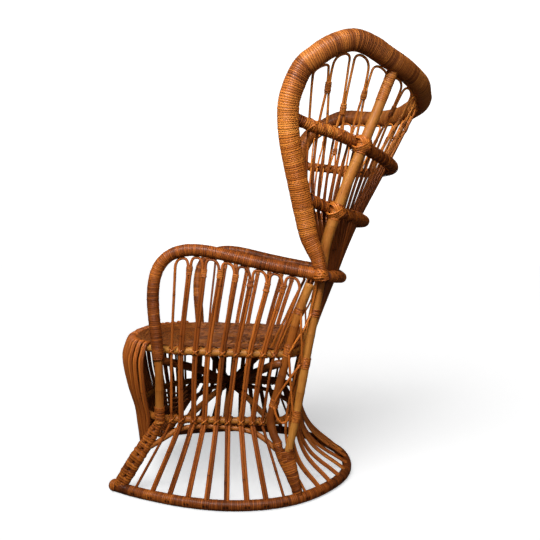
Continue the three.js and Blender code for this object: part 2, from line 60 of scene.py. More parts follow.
FOOT = [[243, -312, 204], [240, -341, 157], [236, -385, 90], [230, -428, 20]]
SIDE_ARCH = [[238, -318, 148], [234, -290, 165], [227, -258, 183], [225, -202, 192], [225, -123, 192], [227, -61, 183], [235, -24, 168], [246, 14, 140]]
SWAG_HALF = [[206, -332, 174], [165, -365, 142], [90, -399, 100], [0, -411, 82]]
BRACE = [[259, -304, 384], [246, -297, 378], [125, -228, 330], [0, -150, 273], [-125, -74, 324], [-242, 6, 370], [-253, 31, 377]]
SIDE_RING_Y = [-375, -322, -270, -217, -165, -112, -59, -10, 36]
SIDE_WAIST_Y = [-277, -249, -215, -185, -151, -120, -84.5, -54, -27]
SIDE_SEAT_Y = [-269, -243, -204, -169, -130, -93.5, -58, -23, 6]
SIDE_BIND_Y = [-252, -213, -174, -131, -90.5, -50, -6, 35, 76]
BACK_SEAT_HALF = [[237, 74], [216, 88], [170, 96], [90, 100], [0, 102]]
BACK_WAIST_HALF = [[229, 33], [210, 50], [160, 64], [85, 70], [0, 72]]
SKIRT = [[150, 0.05], [98, 0.27], [68, 0.53], [45, 0.79]]
SHORT = (2, 5, 8, 9, 12, 15)

UPZ, UPX = np.array([0.0, 0, 1]), np.array([1.0, 0, 0])


def seat_z(y):
    return SEAT_Z + SEAT_RAKE * (np.asarray(y) + 300)


# ---------------------------------------------------------------- curves
def unit(v):
    v = np.asarray(v, float)
    return v / np.maximum(np.linalg.norm(v, axis=-1, keepdims=True), 1e-12)


def mirror(p):
    return np.asarray(p, float) * np.array([-1.0, 1, 1])


def side(p, s):
    return np.asarray(p, float) if s > 0 else mirror(p)


def full(half):
    half = np.asarray(half, float)
    return np.vstack([half, mirror(half)[::-1][1:]])


def spline(pts, n, closed=False):
    """Uniform Catmull-Rom through the points."""
    P = np.asarray(pts, float)
    m = len(P)
    t = (np.arange(n) / n)[:, None]
    out = []
    for i in range(m if closed else m - 1):
        p1, p2 = P[i], P[(i + 1) % m]
        p0 = P[i - 1] if closed or i > 0 else 2 * p1 - p2
        p3 = P[(i + 2) % m] if closed or i + 2 < m else 2 * p2 - p1
        out.append(0.5 * (2 * p1 + (p2 - p0) * t + (2 * p0 - 5 * p1 + 4 * p2 - p3) * t**2 + (3 * p1 - p0 - 3 * p2 + p3) * t**3))
    Q = np.vstack(out)
    return Q if closed else np.vstack([Q, P[-1]])


def bend(pts, n=10):
    """Smooth line through unevenly spaced points, without overshoot."""
    P = np.asarray(pts, float)
    P = np.vstack([2 * P[0] - P[1], P, 2 * P[-1] - P[-2]])
    k = np.maximum(np.linalg.norm(np.diff(P, axis=0), axis=1), 1e-6) ** 0.5
    out = []
    t = (np.arange(n) / n)[:, None]
    for i in range(1, len(P) - 2):
        a, b, c = k[i - 1], k[i], k[i + 1]
        m1 = b * ((P[i] - P[i - 1]) / a - (P[i + 1] - P[i - 1]) / (a + b) + (P[i + 1] - P[i]) / b)
        m2 = b * ((P[i + 1] - P[i]) / b - (P[i + 2] - P[i]) / (b + c) + (P[i + 2] - P[i + 1]) / c)
        d = P[i + 1] - P[i]
        out.append(P[i] + m1 * t + (3 * d - 2 * m1 - m2) * t**2 + (m1 + m2 - 2 * d) * t**3)
    return np.vstack(out + [P[-2:-1]])


class Line:
    """A polyline read by length."""

    def __init__(self, P, closed=False):
        P = np.asarray(P, float)
        self.closed = closed
        self.P = np.vstack([P, P[:1]]) if closed else P
        self.L = np.concatenate([[0], np.cumsum(np.linalg.norm(np.diff(self.P, axis=0), axis=1))])
        self.total = self.L[-1]

    def at(self, s):
        s = np.asarray(s, float)
        if self.closed:
            s = s % self.total
            return np.stack([np.interp(s, self.L, self.P[:, k]) for k in range(3)], -1)
        q = np.stack([np.interp(s, self.L, self.P[:, k]) for k in range(3)], -1)
        low, high = np.minimum(s, 0), np.maximum(s - self.total, 0)
        return q + low[..., None] * unit(self.P[1] - self.P[0]) + high[..., None] * unit(self.P[-1] - self.P[-2])

    def dir(self, s, h=4.0):
        if self.closed:
            return unit(self.at(s + h) - self.at(s - h))
        return unit(self.at(np.minimum(s + h, self.total)) - self.at(np.maximum(s - h, 0)))

    def where(self, axis, v):
        """Length at which a coordinate first takes the value."""
        a = self.P[:, axis]
        hit = np.nonzero(((a[:-1] - v) * (a[1:] - v) <= 0) & (a[:-1] != a[1:]))[0]
        if not len(hit):
            return 0.0
        i = hit[0]
        return self.L[i] + (v - a[i]) / (a[i + 1] - a[i]) * (self.L[i + 1] - self.L[i])


def frames(P, ref=None, closed=False):
    if closed:
        T = unit(np.roll(P, -1, 0) - np.roll(P, 1, 0))
    else:
        T = unit(np.gradient(P, axis=0))
    if ref is not None:
        ref = np.asarray(ref, float)
        N = unit(ref - np.sum(T * ref, 1)[:, None] * T)
        return T, N, np.cross(T, N)
    N = np.empty_like(T)
    start = UPZ if abs(T[0] @ UPZ) < 0.8 else UPX
    prev = start
    for i in range(len(P)):
        n = prev - (prev @ T[i]) * T[i]
        prev = n / np.linalg.norm(n)
        N[i] = prev
    return T, N, np.cross(T, N)


# ---------------------------------------------------------------- meshes
class Shape:
    """Collects closed tubes with the values that the materials read."""

    def __init__(self):
        self.v, self.tone, self.groove, self.pc = [], [], [], []
        self.quads, self.tris, self.quv, self.tuv, self.islands = [], [], [], [], []
        self.count = 0

    def grid(self, V, pc, tone, groove, closed, width_mm, caps=True):
        """V: rows x sides x 3. Rows run along the tube, sides go round it."""
        n, m = V.shape[:2]
        base = self.count
        self.v.append(V.reshape(-1, 3))
        self.pc.append(pc.reshape(-1, 3))
        self.tone.append(np.broadcast_to(tone, (n, m)).reshape(-1))
        self.groove.append(np.broadcast_to(groove, (n, m)).reshape(-1))
        self.count += n * m
        rows = n if closed else n - 1
        i = np.arange(rows)[:, None]
        k = np.arange(m)[None, :]
        j = (i + 1) % n
        l = (k + 1) % m
        Q = np.stack([base + i * m + k, base + i * m + l, base + j * m + l, base + j * m + k], -1)
        mid = V.mean(1)
        step = np.linalg.norm(np.diff(np.vstack([mid, mid[:1]]) if closed else mid, axis=0), axis=1)
        along = np.concatenate([[0], np.cumsum(step)])
        top = width_mm / m
        kk = np.broadcast_to(k, (rows, m))
        a0 = np.broadcast_to(along[:rows, None], (rows, m))
        a1 = np.broadcast_to(along[1 : rows + 1, None], (rows, m))
        uv = np.stack([np.stack([a0, kk * top], -1), np.stack([a0, (kk + 1) * top], -1), np.stack([a1, (kk + 1) * top], -1), np.stack([a1, kk * top], -1)], 2)
        # cut the long strip into lengths that stack into a square
        total = along[rows]
        parts = max(1, int(round(math.sqrt(total / max(width_mm, 1)) / 1.0)))
        cuts = np.unique(np.searchsorted(along, np.linspace(0, total, parts + 1)))
        cuts[0], cuts[-1] = 0, rows
        for c0, c1 in zip(cuts[:-1], cuts[1:]):
            if c1 <= c0:
                continue
            u = uv[c0:c1].reshape(-1, 4, 2).copy()
            u[..., 0] -= along[c0]
            self.islands.append([len(self.quv), u, along[c1] - along[c0], width_mm])
            self.quads.append(Q[c0:c1].reshape(-1, 4))
            self.quv.append(None)
        if caps and not closed:
            for row, flip in ((0, True), (n - 1, False)):
                c = self.count
                self.v.append(V[row].mean(0)[None])
                self.pc.append(pc[row].mean(0)[None])
                t = np.broadcast_to(tone, (n, m))[row].mean()
                self.tone.append(np.array([t]))
                self.groove.append(np.array([np.broadcast_to(groove, (n, m))[row].mean()]))
                self.count += 1
                ring = base + row * m + np.arange(m)
                nxt = base + row * m + (np.arange(m) + 1) % m
                F = np.stack([nxt, ring, np.full(m, c)], -1) if flip else np.stack([ring, nxt, np.full(m, c)], -1)
                r = width_mm / (2 * math.pi)
                a = np.arange(m) * 2 * math.pi / m
                b = a + 2 * math.pi / m
                p = np.stack([r + r * np.cos(a), r + r * np.sin(a)], -1)
                q = np.stack([r + r * np.cos(b), r + r * np.sin(b)], -1)
                o = np.full((m, 2), r)
                u = np.stack([q, p, o], 1) if flip else np.stack([p, q, o], 1)
                self.islands.append([-1 - len(self.tuv), u, 2 * r, 2 * r])
                self.tris.append(F)
                self.tuv.append(None)

    def layout(self):
        """Stacks the unrolled lengths on shelves in a square."""
        gap = 1.2
        items = sorted(range(len(self.islands)), key=lambda i: (-self.islands[i][3], -self.islands[i][2], i))
        area = sum((w + gap) * (h + gap) for _, _, w, h in self.islands)
        size = max(math.sqrt(area) * 1.03, max(w for _, _, w, _ in self.islands) + 2 * gap)
        while True:
            x = y = shelf = gap
            shelf = 0.0
            place, fits = {}, True
            for i in items:
                _, _, w, h = self.islands[i]
                if x + w + gap > size:
                    x, y, shelf = gap, y + shelf + gap, 0.0
                place[i] = (x, y)
                x += w + gap
                shelf = max(shelf, h)
                if y + h + gap > size:
                    fits = False
                    break
            if fits:
                break
            size *= 1.03
        for i, (key, u, _, _) in enumerate(self.islands):
            moved = (u + np.array(place[i])) / size
            if key >= 0:
                self.quv[key] = moved
            else:
                self.tuv[-1 - key] = moved

    def build(self, name, material, nodes=()):
        self.layout()
        V = np.vstack(self.v) * 0.001
        Q = np.vstack(self.quads)
        T = np.vstack(self.tris) if self.tris else np.zeros((0, 3), int)
        mesh = bpy.data.meshes.new(name)
        mesh.vertices.add(len(V))
        mesh.vertices.foreach_set("co", V.astype(np.float32).ravel())
        loops = np.concatenate([Q.ravel(), T.ravel()]).astype(np.int32)
        mesh.loops.add(len(loops))
        mesh.loops.foreach_set("vertex_index", loops)
        start = np.concatenate([np.arange(len(Q)) * 4, 4 * len(Q) + np.arange(len(T)) * 3]).astype(np.int32)
        mesh.polygons.add(len(start))
        mesh.polygons.foreach_set("loop_start", start)
        mesh.polygons.foreach_set("use_smooth", np.ones(len(start), bool))
        mesh.update(calc_edges=True)
        uv = mesh.uv_layers.new(name="OFBake")
        flat = np.concatenate([np.vstack(self.quv).reshape(-1, 2)] + ([np.vstack(self.tuv).reshape(-1, 2)] if self.tuv else []))
        uv.data.foreach_set("uv", flat.astype(np.float32).ravel())
        for key, values in (("tone", self.tone), ("groove", self.groove)):
            mesh.attributes.new(key, "FLOAT", "POINT").data.foreach_set("value", np.concatenate(values).astype(np.float32))
        mesh.attributes.new("pc", "FLOAT_VECTOR", "POINT").data.foreach_set("vector", np.vstack(self.pc).astype(np.float32).ravel())
        mesh.materials.append(material)
        mesh.validate()
        ob = bpy.data.objects.new(name, mesh)
        bpy.context.scene.collection.objects.link(ob)
        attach(ob, "root")
        if nodes:
            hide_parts(*nodes)
        return ob


def power(x, e):
    return np.sign(x) * np.abs(x) ** e


def tube(sh, P, ra, rb=None, sides=10, ref=None, closed=False, tone=0.5, groove=0.0, e=1.0, swell=None, slip=None, twist=0.0, caps=True):
    """Tube along points P; ra and rb are its half axes along the frame's two directions."""
    P = np.asarray(P, float)
    n = len(P)
    T, N, B = frames(P, ref, closed)
    ra = np.broadcast_to(np.asarray(ra, float), (n,))
    rb = ra if rb is None else np.broadcast_to(np.asarray(rb, float), (n,))
    a = np.arange(sides) * 2 * math.pi / sides + twist
    ca, sa = power(np.cos(a), e), power(np.sin(a), e)
    x, y = ra[:, None] * ca, rb[:, None] * sa
    if swell is not None:
        k = 1 + swell / np.maximum(np.hypot(x, y), 0.1)
        x, y = x * k, y * k
    V = P[:, None] + x[..., None] * N[:, None] + y[..., None] * B[:, None]
    if slip is not None:
        V = V + slip[..., None] * T[:, None]
    s = np.concatenate([[0], np.cumsum(np.linalg.norm(np.diff(P, axis=0), axis=1))]) + RNG.uniform(0, 4000)
    pc = np.stack([np.broadcast_to(s[:, None], x.shape), x, y], -1) * 0.001
    mean = float(np.mean(np.hypot(ra, rb)) / math.sqrt(2))
    tone = np.asarray(tone, float)
    groove = np.asarray(groove, float)
    if tone.ndim == 1:
        tone = tone[:, None]
    if groove.ndim == 1:
        groove = groove[:, None]
    sh.grid(V, pc, tone, groove, closed, 2 * math.pi * mean, caps)


def runs(n, mean, spread, short=6, long=22, fine=0.08):
    """Tones of n turns: one strip of cane lasts for some turns, then the next one starts."""
    out, i = np.empty(n), 0
    while i < n:
        k = int(RNG.integers(short, long))
        out[i : i + k] = mean + spread * RNG.normal()
        i += k
    return np.clip(out + fine * RNG.normal(size=n), 0, 1)


ROW_AT = np.array([0.0, 0.15, 0.38, 0.62, 0.85])
ROW_DROP = np.array([1.0, 0.3, 0.03, 0.03, 0.3])
# ROW_DARK darkens each strip's edges where they dip into the groove between turns: painted shade
ROW_DARK = np.array([1.0, 0.34, 0.0, 0.0, 0.34])


def wound(sh, line, s0, s1, r, rb=None, pitch=5.2, sides=20, depth=0.75, ref=None, e=1.0, mean=0.5, spread=0.12, lean=0.7, rough=0.16, vary=0.16, bite=None, tones=None, dome=False, shape=None, short=6, long=22):
    """A member wound with flat cane: every turn is a rounded strip with a groove on each side."""
    n = max(2, int(round((s1 - s0) / pitch)))
    w = 1 + vary * RNG.uniform(-1, 1, n)
    edge = s0 + np.concatenate([[0], np.cumsum(w)]) * (s1 - s0) / w.sum()
    tone = runs(n, mean, spread, short, long) if tones is None else tones(0.5 * (edge[1:] + edge[:-1]))
    lift = rough * RNG.normal(size=n)
    walk = np.zeros((n, 2))
    for i in range(1, n):
        walk[i] = 0.8 * walk[i - 1] + 0.6 * RNG.normal(size=2)
    walk *= lean
    S = (edge[:-1, None] + ROW_AT * (edge[1:] - edge[:-1])[:, None]).ravel()
    drop = np.tile(ROW_DROP, n) * depth * np.repeat(RNG.uniform(0.75, 1.3, n), 5) - np.repeat(lift, 5)
    dark = np.tile(ROW_DARK, n) * np.repeat(RNG.uniform(0.55, 1.0, n), 5)
    col = np.repeat(tone, 5)
    tilt = np.repeat(walk, 5, axis=0)
    strip = np.repeat(np.arange(n), 5)
    for q in range(5, len(S), 5):
        tilt[q] = 0.5 * (tilt[q - 1] + tilt[q + 1])
    S, drop, dark = np.append(S, s1), np.append(drop, depth), np.append(dark, 1.0)
    col, tilt, strip = np.append(col, col[-1]), np.vstack([tilt, tilt[-1:]]), np.append(strip, n - 1)
    P = line.at(S)
    if line.closed:
        S, P, drop, dark, col, tilt, strip = S[:-1], P[:-1], drop[:-1], dark[:-1], col[:-1], tilt[:-1], strip[:-1]
    ra = (np.asarray(r(S)) if callable(r) else np.full(len(S), float(r)))
    rbb = ra if rb is None else (np.asarray(rb(S)) if callable(rb) else np.full(len(S), float(rb)))
    a = np.arange(sides) * 2 * math.pi / sides
    swell = np.broadcast_to(-drop[:, None], (len(S), sides)).copy()
    groove = np.broadcast_to(dark[:, None], (len(S), sides)).copy()
    if shape is not None:
        swell += shape(S[:, None], a[None, :])
    if bite is not None:
        d, g = bite(S[:, None], strip[:, None], a[None, :])
        swell -= d
        groove = np.maximum(groove, g)
    slip = tilt[:, :1] * np.cos(a) + tilt[:, 1:] * np.sin(a)
    if not line.closed:
        ends = np.clip(np.minimum(S - s0, s1 - S) / 12, 0, 1)[:, None]
        slip = slip * ends
    if dome:
        k = np.sqrt(np.clip(1 - (1 - np.clip(np.minimum(S - s0, s1 - S) / (0.8 * ra), 0, 1)) ** 2, 0.04, 1))
        ra, rbb = ra * k, rbb * k
    ref = ref(S) if callable(ref) else ref
    tube(sh, P, ra, rbb, sides, ref, line.closed, col, groove, e, swell, slip)


def stick(sh, line, s0, s1, r, sides=14, step=9.0, mean=0.5, knots=(), spread=0.06, wobble=0.35, bulge=0.9, ends=1.5, ref=None, stain=0.9):
    """A bare pole or reed: a little uneven, with growth rings at the knots."""
    S = np.arange(s0, s1, step)
    extra = [np.array([k - 9, k - 5, k - 2.4, k - 1.1, k, k + 1.1, k + 2.4, k + 5, k + 9]) for k in knots if s0 + 12 < k < s1 - 12]
    S = np.unique(np.concatenate([S, [s0, s0 + 0.4 * ends, s0 + ends, s1 - ends, s1 - 0.4 * ends, s1]] + extra))
    S = S[(S >= s0) & (S <= s1)]
    # closer rows where the rod bends tightly
    D = unit(line.dir(S))
    turn = np.arccos(np.clip(np.sum(D[1:] * D[:-1], 1), -1, 1))
    more = [np.linspace(S[i], S[i + 1], int(math.ceil(turn[i] / 0.17)) + 1)[1:-1] for i in np.nonzero(turn > 0.2)[0]]
    if more:
        S = np.unique(np.concatenate([S] + more))
    keep = np.concatenate([[True], np.diff(S) > 0.15])
    keep[-1] = True
    S = S[keep]
    ph = RNG.uniform(0, 7, 6)
    P = line.at(S)
    T, N, B = frames(P, ref, line.closed)
    P = P + wobble * (np.sin(S / 47 + ph[0]) + 0.6 * np.sin(S / 19 + ph[1]))[:, None] * N + wobble * (np.sin(S / 53 + ph[2]) + 0.6 * np.sin(S / 23 + ph[3]))[:, None] * B
    rr = (r(S) if callable(r) else r) * (1 + 0.02 * np.sin(S / 61 + ph[4]) + 0.012 * np.sin(S / 17 + ph[5]))
    dark = np.zeros(len(S))
    for k in knots:
        rr = rr + bulge * np.exp(-(((S - k) / 6.0) ** 2)) - 0.75 * bulge * np.exp(-(((S - k) / 1.3) ** 2))
        dark = np.maximum(dark, stain * (np.exp(-(((S - k) / 1.5) ** 2)) + 0.28 * np.exp(-(((S - k - 5) / 6.0) ** 2))))
    near = np.minimum(S - s0, s1 - S)
    if not line.closed:
        rr = rr * np.sqrt(np.clip(1 - (1 - np.clip(near / ends, 0, 1)) ** 2 * 0.6, 0.2, 1))
    tone = np.clip((mean(S) if callable(mean) else mean) + spread * (np.sin(S / 140 + ph[0]) + 0.5 * np.sin(S / 55 + ph[3])), 0, 1)
    if line.closed:
        S, P, rr, tone, dark = S[:-1], P[:-1], rr[:-1], tone[:-1], dark[:-1]
    tube(sh, P, rr, None, sides, ref, line.closed, tone, np.clip(dark, 0, 1))


def tie(sh, c, d, rods, width=4.4, thick=1.3, n=34, tone=0.5, lift=0.0):
    """One flat turn pulled tight round crossing rods, in the plane of d and rods' common normal.

    rods: [(point, axis, radius)], the first one holds c; the plane's second direction leads from it to the next one.
    """
    out = unit(rods[1][0] - rods[0][0])
    d = unit(d - (d @ out) * out)
    t = np.arange(72) * 2 * math.pi / 72
    nx, ny = np.cos(t), np.sin(t)
    far, P, nr = np.full(72, -1e9), np.zeros((72, 3)), np.zeros((72, 3))
    for q, axis, r in rods:
        axis = unit(axis)
        v = (q - c) @ out
        a, b = r / max(np.linalg.norm(np.cross(d, axis)), 0.25), r / max(np.linalg.norm(np.cross(out, axis)), 0.25)
        m = np.sqrt((a * nx) ** 2 + (b * ny) ** 2)
        h = v * ny + m
        X = c + (a * a * nx / m)[:, None] * d + (v + b * b * ny / m)[:, None] * out
        g = X - q
        g = unit(g - (g @ axis)[:, None] * axis)
        w = h > far
        far[w], P[w], nr[w] = h[w], X[w], g[w]
    P = P + nr * (thick / 2 + lift)
    l = np.concatenate([[0], np.cumsum(np.linalg.norm(np.diff(np.vstack([P, P[:1]]), axis=0), axis=1))])
    x = np.arange(n) / n * l[-1]
    put = lambda A: np.stack([np.interp(x, l, np.append(A[:, k], A[0, k])) for k in range(3)], -1)
    P, nr = put(P), unit(put(nr))
    tn = unit(np.roll(P, -1, 0) - np.roll(P, 1, 0))
    tube(sh, P, thick / 2, width / 2, 6, nr - np.sum(nr * tn, 1)[:, None] * tn, True, tone, 0.0, 0.8)


def cross_lash(sh, rods, width=4.4, turns=1, mean=0.5, angle=45, both=True, lift=0.0):
    """Crossed turns that tie a stake to a rail. rods: rail, then stake, as (point, axis, radius)."""
    out = unit(rods[1][0] - rods[0][0])
    along = unit(rods[0][1] - (rods[0][1] @ out) * out)
    up = np.cross(out, along)
    ang = math.radians(angle)
    for k, sgn in enumerate((1, -1) if both else (1,)):
        d = along * math.cos(ang) + up * math.sin(ang) * sgn
        w = np.cross(out, d)
        for q in range(turns):
            move = w * (q - (turns - 1) / 2) * width * 1.02
            tie(sh, rods[0][0] + move, d, [(a + move, x, r) for a, x, r in rods], width, tone=float(np.clip(mean + 0.1 * RNG.normal(), 0, 1)), lift=lift + 0.25 * RNG.random() + 1.0 * (1 - k))


def straight(p, d, length):
    d = unit(d)
    return Line([np.asarray(p) - d * length / 2, np.asarray(p) + d * length / 2])


# ---------------------------------------------------------------- materials
def node(tree, kind, **values):
    n = tree.nodes.new(kind)
    for k, v in values.items():
        setattr(n, k, v)
    return n


def cane(name, ramp, fibre, across, rough, groove_tint, coat, fleck=0.0, patch=0.10, grain=0.16, bump=0.25, blot=7.0, painted_top_sheen=None):
    """Varnished cane. fibre and across scale the grain along the member and round it."""
    m = bpy.data.materials.new(name)
    m.use_nodes = True
    t = m.node_tree
    t.nodes.clear()
    out = node(t, "ShaderNodeOutputMaterial")
    b = node(t, "ShaderNodeBsdfPrincipled")
    t.links.new(b.outputs[0], out.inputs[0])
    pc = node(t, "ShaderNodeAttribute", attribute_name="pc")
    tone = node(t, "ShaderNodeAttribute", attribute_name="tone")
    groove = node(t, "ShaderNodeAttribute", attribute_name="groove")

    def scaled(v):
        q = node(t, "ShaderNodeVectorMath", operation="MULTIPLY")
        t.links.new(pc.outputs["Vector"], q.inputs[0])
        q.inputs[1].default_value = v
        return q.outputs[0]

    def noise(vec, scale, detail, roughness=0.55):
        q = node(t, "ShaderNodeTexNoise")
        q.inputs["Scale"].default_value = scale
        q.inputs["Detail"].default_value = detail
        q.inputs["Roughness"].default_value = roughness
        t.links.new(vec, q.inputs["Vector"])
        return q.outputs["Fac"]

    def math_(op, a, c, clamp=False):
        q = node(t, "ShaderNodeMath", operation=op, use_clamp=clamp)
        for k, v in enumerate((a, c)):
            if isinstance(v, (int, float)):
                q.inputs[k].default_value = v
            else:
                t.links.new(v, q.inputs[k])
        return q.outputs[0]

    fine = noise(scaled((fibre, across, across)), 1.0, 3.0)
    coarse = noise(scaled((fibre * 0.12, across * 0.12, across * 0.12)), 1.0, 2.0)
    where = node(t, "ShaderNodeTexCoord")
    big = noise(where.outputs["Object"], blot, 3.0, 0.6)
    f = math_("MULTIPLY", math_("SUBTRACT", fine, 0.5), 2 * grain)
    f = math_("ADD", f, math_("MULTIPLY", math_("SUBTRACT", coarse, 0.5), 1.4 * grain))
    f = math_("ADD", f, math_("MULTIPLY", math_("SUBTRACT", big, 0.5), 2 * patch))
    f = math_("ADD", f, tone.outputs["Fac"], True)
    colour = node(t, "ShaderNodeValToRGB")
    t.links.new(f, colour.inputs[0])
    stops = colour.color_ramp.elements
    for i, (pos, c) in enumerate(ramp):
        s = stops[i] if i < 2 else stops.new(pos)
        s.position = pos
        s.color = (*c, 1)
    last = colour.outputs[0]
    if fleck:
        spots = noise(scaled((fibre * 6, across * 1.2, across * 1.2)), 1.0, 1.0)
        mask = node(t, "ShaderNodeMapRange")
        mask.inputs["From Min"].default_value = 0.66
        mask.inputs["From Max"].default_value = 0.74
        t.links.new(spots, mask.inputs["Value"])
        mx = node(t, "ShaderNodeMix", data_type="RGBA", blend_type="MULTIPLY")
        t.links.new(math_("MULTIPLY", mask.outputs[0], fleck), mx.inputs["Factor"])
        t.links.new(last, mx.inputs["A"])
        mx.inputs["B"].default_value = (0.35, 0.2, 0.1, 1)
        last = mx.outputs["Result"]
    if painted_top_sheen:
        # painted sheen: the upper part of the chair is tinted greyer and bluer, standing in for the sheen of the light
        # from above
        place = node(t, "ShaderNodeSeparateXYZ")
        t.links.new(where.outputs["Object"], place.inputs[0])
        up = node(t, "ShaderNodeMapRange")
        up.inputs["From Min"].default_value = 0.94
        up.inputs["From Max"].default_value = 1.15
        t.links.new(place.outputs["Z"], up.inputs["Value"])
        mx = node(t, "ShaderNodeMix", data_type="RGBA", blend_type="MULTIPLY")
        t.links.new(up.outputs[0], mx.inputs["Factor"])
        t.links.new(last, mx.inputs["A"])
        mx.inputs["B"].default_value = (*painted_top_sheen, 1)
        last = mx.outputs["Result"]
    # groove darkens the colour: real stains at the knots of bare rods, and painted shade in grooves, holes and dips
    # between strips
    mx = node(t, "ShaderNodeMix", data_type="RGBA", blend_type="MULTIPLY")
    t.links.new(groove.outputs["Fac"], mx.inputs["Factor"])
    t.links.new(last, mx.inputs["A"])
    mx.inputs["B"].default_value = (*groove_tint, 1)
    t.links.new(mx.outputs["Result"], b.inputs["Base Color"])
    rg = math_("ADD", math_("MULTIPLY", fine, 0.22), rough - 0.11)
    rg = math_("ADD", rg, math_("MULTIPLY", groove.outputs["Fac"], 0.25), True)
    t.links.new(rg, b.inputs["Roughness"])
    bp = node(t, "ShaderNodeBump")
    bp.inputs["Strength"].default_value = bump
    bp.inputs["Distance"].default_value = 0.0006
    t.links.new(fine, bp.inputs["Height"])
    t.links.new(bp.outputs[0], b.inputs["Normal"])
    b.inputs["Coat Weight"].default_value = coat
    b.inputs["Coat Roughness"].default_value = 0.34
    b.inputs["IOR"].default_value = 1.5
    b.inputs["Specular IOR Level"].default_value = 0.18
    return m


# the wrapped cane carries the painted top sheen: a greyer, bluer tint high up
WRAP = cane("wrapped_cane", [(0.0, (0.055, 0.012, 0.0022)), (1.0, (0.70, 0.265, 0.046)), (0.3, (0.21, 0.050, 0.0075)), (0.55, (0.40, 0.108, 0.014)), (0.8, (0.56, 0.178, 0.026))], 700, 24, 0.38, (0.12, 0.065, 0.04), 0.06, painted_top_sheen=(0.92, 1.07, 1.5))
BARE = cane("bare_pole", [(0.0, (0.13, 0.030, 0.004)), (1.0, (0.60, 0.29, 0.062)), (0.35, (0.28, 0.078, 0.009)), (0.6, (0.40, 0.158, 0.027))], 5, 420, 0.5, (0.32, 0.2, 0.12), 0.06, fleck=0.5, grain=0.12, patch=0.24, blot=26.0)
REED = cane("reed", [(0.0, (0.06, 0.014, 0.0025)), (1.0, (0.66, 0.235, 0.04)), (0.35, (0.23, 0.055, 0.0078)), (0.6, (0.42, 0.112, 0.0155))], 7, 500, 0.46, (0.25, 0.15, 0.1), 0.09, fleck=0.35, grain=0.15)
DARK = cane("dark_cane", [(0.0, (0.023, 0.007, 0.0022)), (1.0, (0.42, 0.135, 0.023)), (0.5, (0.157, 0.043, 0.0076))], 6, 420, 0.5, (0.25, 0.15, 0.1), 0.12, fleck=0.4, grain=0.14)
SEAT = cane("seat_weave", [(0.0, (0.045, 0.011, 0.003)), (1.0, (0.46, 0.16, 0.028)), (0.4, (0.165, 0.044, 0.008)), (0.65, (0.30, 0.084, 0.014))], 9, 420, 0.4, (0.13, 0.08, 0.05), 0.14, fleck=0.3, grain=0.15)

# ---------------------------------------------------------------- shared lines
ring3 = np.array([[x, y, R_RING] for x, y in RING_HALF])
ring_line = Line(spline(full(ring3), 16))
border_line = Line(spline(full(BORDER_HALF), 16))
seat3 = np.array([[x, y, seat_z(y)] for x, y in SEAT_HALF])
waist3 = np.array([[x, y, WAIST_Z] for x, y in WAIST_HALF])
seat_half, waist_half = Line(spline(seat3, 12)), Line(spline(waist3, 12))
loop_of = lambda h: np.vstack([h, mirror(h)[::-1][1:-1]])
seat_loop, waist_loop = Line(spline(loop_of(seat3), 12, True), True), Line(spline(loop_of(waist3), 12, True), True)
arm_line = Line(spline(ARM + POST_LOW, 14))
arm_top = Line(spline(ARM[:9], 12))
pole_line, leg_line = Line(spline(POLE, 14)), Line(spline(LEG, 14))
hoop_lines = {"upper": Line(spline(full(HOOP_UPPER), 14)), "middle": Line(spline(full(HOOP_MIDDLE), 14)), "lower": Line(spline(full([[262, 146, 611]] + HOOP_LOWER), 14))}


def outward(line, s):
    d = line.dir(s)
    return unit(np.array([d[1], -d[0], 0.0]))


SIDES = (("left", 1), ("right", -1))
PAIR = 3.65


# stakes of the side panels
def side_stake(k):
    ring = ring_line.at(ring_line.where(1, SIDE_RING_Y[k])).copy()
    ring[2] = 2 * R_RING - 3
    ws = waist_half.where(1, SIDE_WAIST_Y[k])
    ss = seat_half.where(1, SIDE_SEAT_Y[k])
    waist = waist_half.at(ws) + outward(waist_half, ws) * (R_WAIST + R_REED + 1.2)
    seat = seat_half.at(ss) + outward(seat_half, ss) * (R_SEAT + R_REED + 1.2)
    arm = arm_top.at(arm_top.where(1, SIDE_BIND_Y[k])).copy()
    arm[2] -= R_ARM + 30
    return ring, waist, seat, arm, ws, ss


def arch_over(a, b, apex, n, e=0.8):
    c, w = 0.5 * (a + b), 0.5 * (b - a)
    t = math.pi * np.arange(1, n) / n
    return c - power(np.cos(t), e)[:, None] * w + (np.sin(t) ** e)[:, None] * (apex - c)


def side_leg(i, away):
    ring, waist, seat, bind, _, _ = side_stake(i)
    one = 0.0 if i in (0, N_SIDE) else 1.0
    sh = lambda p, d: p + np.array([0, away * d * one, 0])
    w, r, st = sh(waist, PAIR), sh(ring, PAIR), sh(seat, PAIR)
    return np.array([r, w + (r - w) * 0.12 + np.array([0, 0, -4.0]), w, w + (st - w) * 0.15, st, sh(bind, PAIR)])


def side_hairpin(k):
    a, b = side_leg(k, 1), side_leg(k + 1, -1)
    p, q = a[-1], b[-1]
    apex = arm_top.at(arm_top.where(1, 0.5 * (p[1] + q[1]))).copy()
    apex[2] -= R_ARM + R_REED - 0.6
    return np.vstack([a, arch_over(p, q, apex, 18), b[::-1]])


# levels of the back reeds
def level(half, margin, inset):
    t = Line(spline(full(half), 10))
    n = 2 * N_BACK
    s = margin + (np.arange(n) + 0.5) / n * (t.total - 2 * margin)
    d = t.dir(s)
    inner = unit(np.stack([-d[:, 1], d[:, 0], 0 * d[:, 0]], -1))
    flip = (inner[:, 1] > 0) & (np.abs(inner[:, 1]) > 0.2)
    inner[flip] *= -1
    return t.at(s) + inner * inset


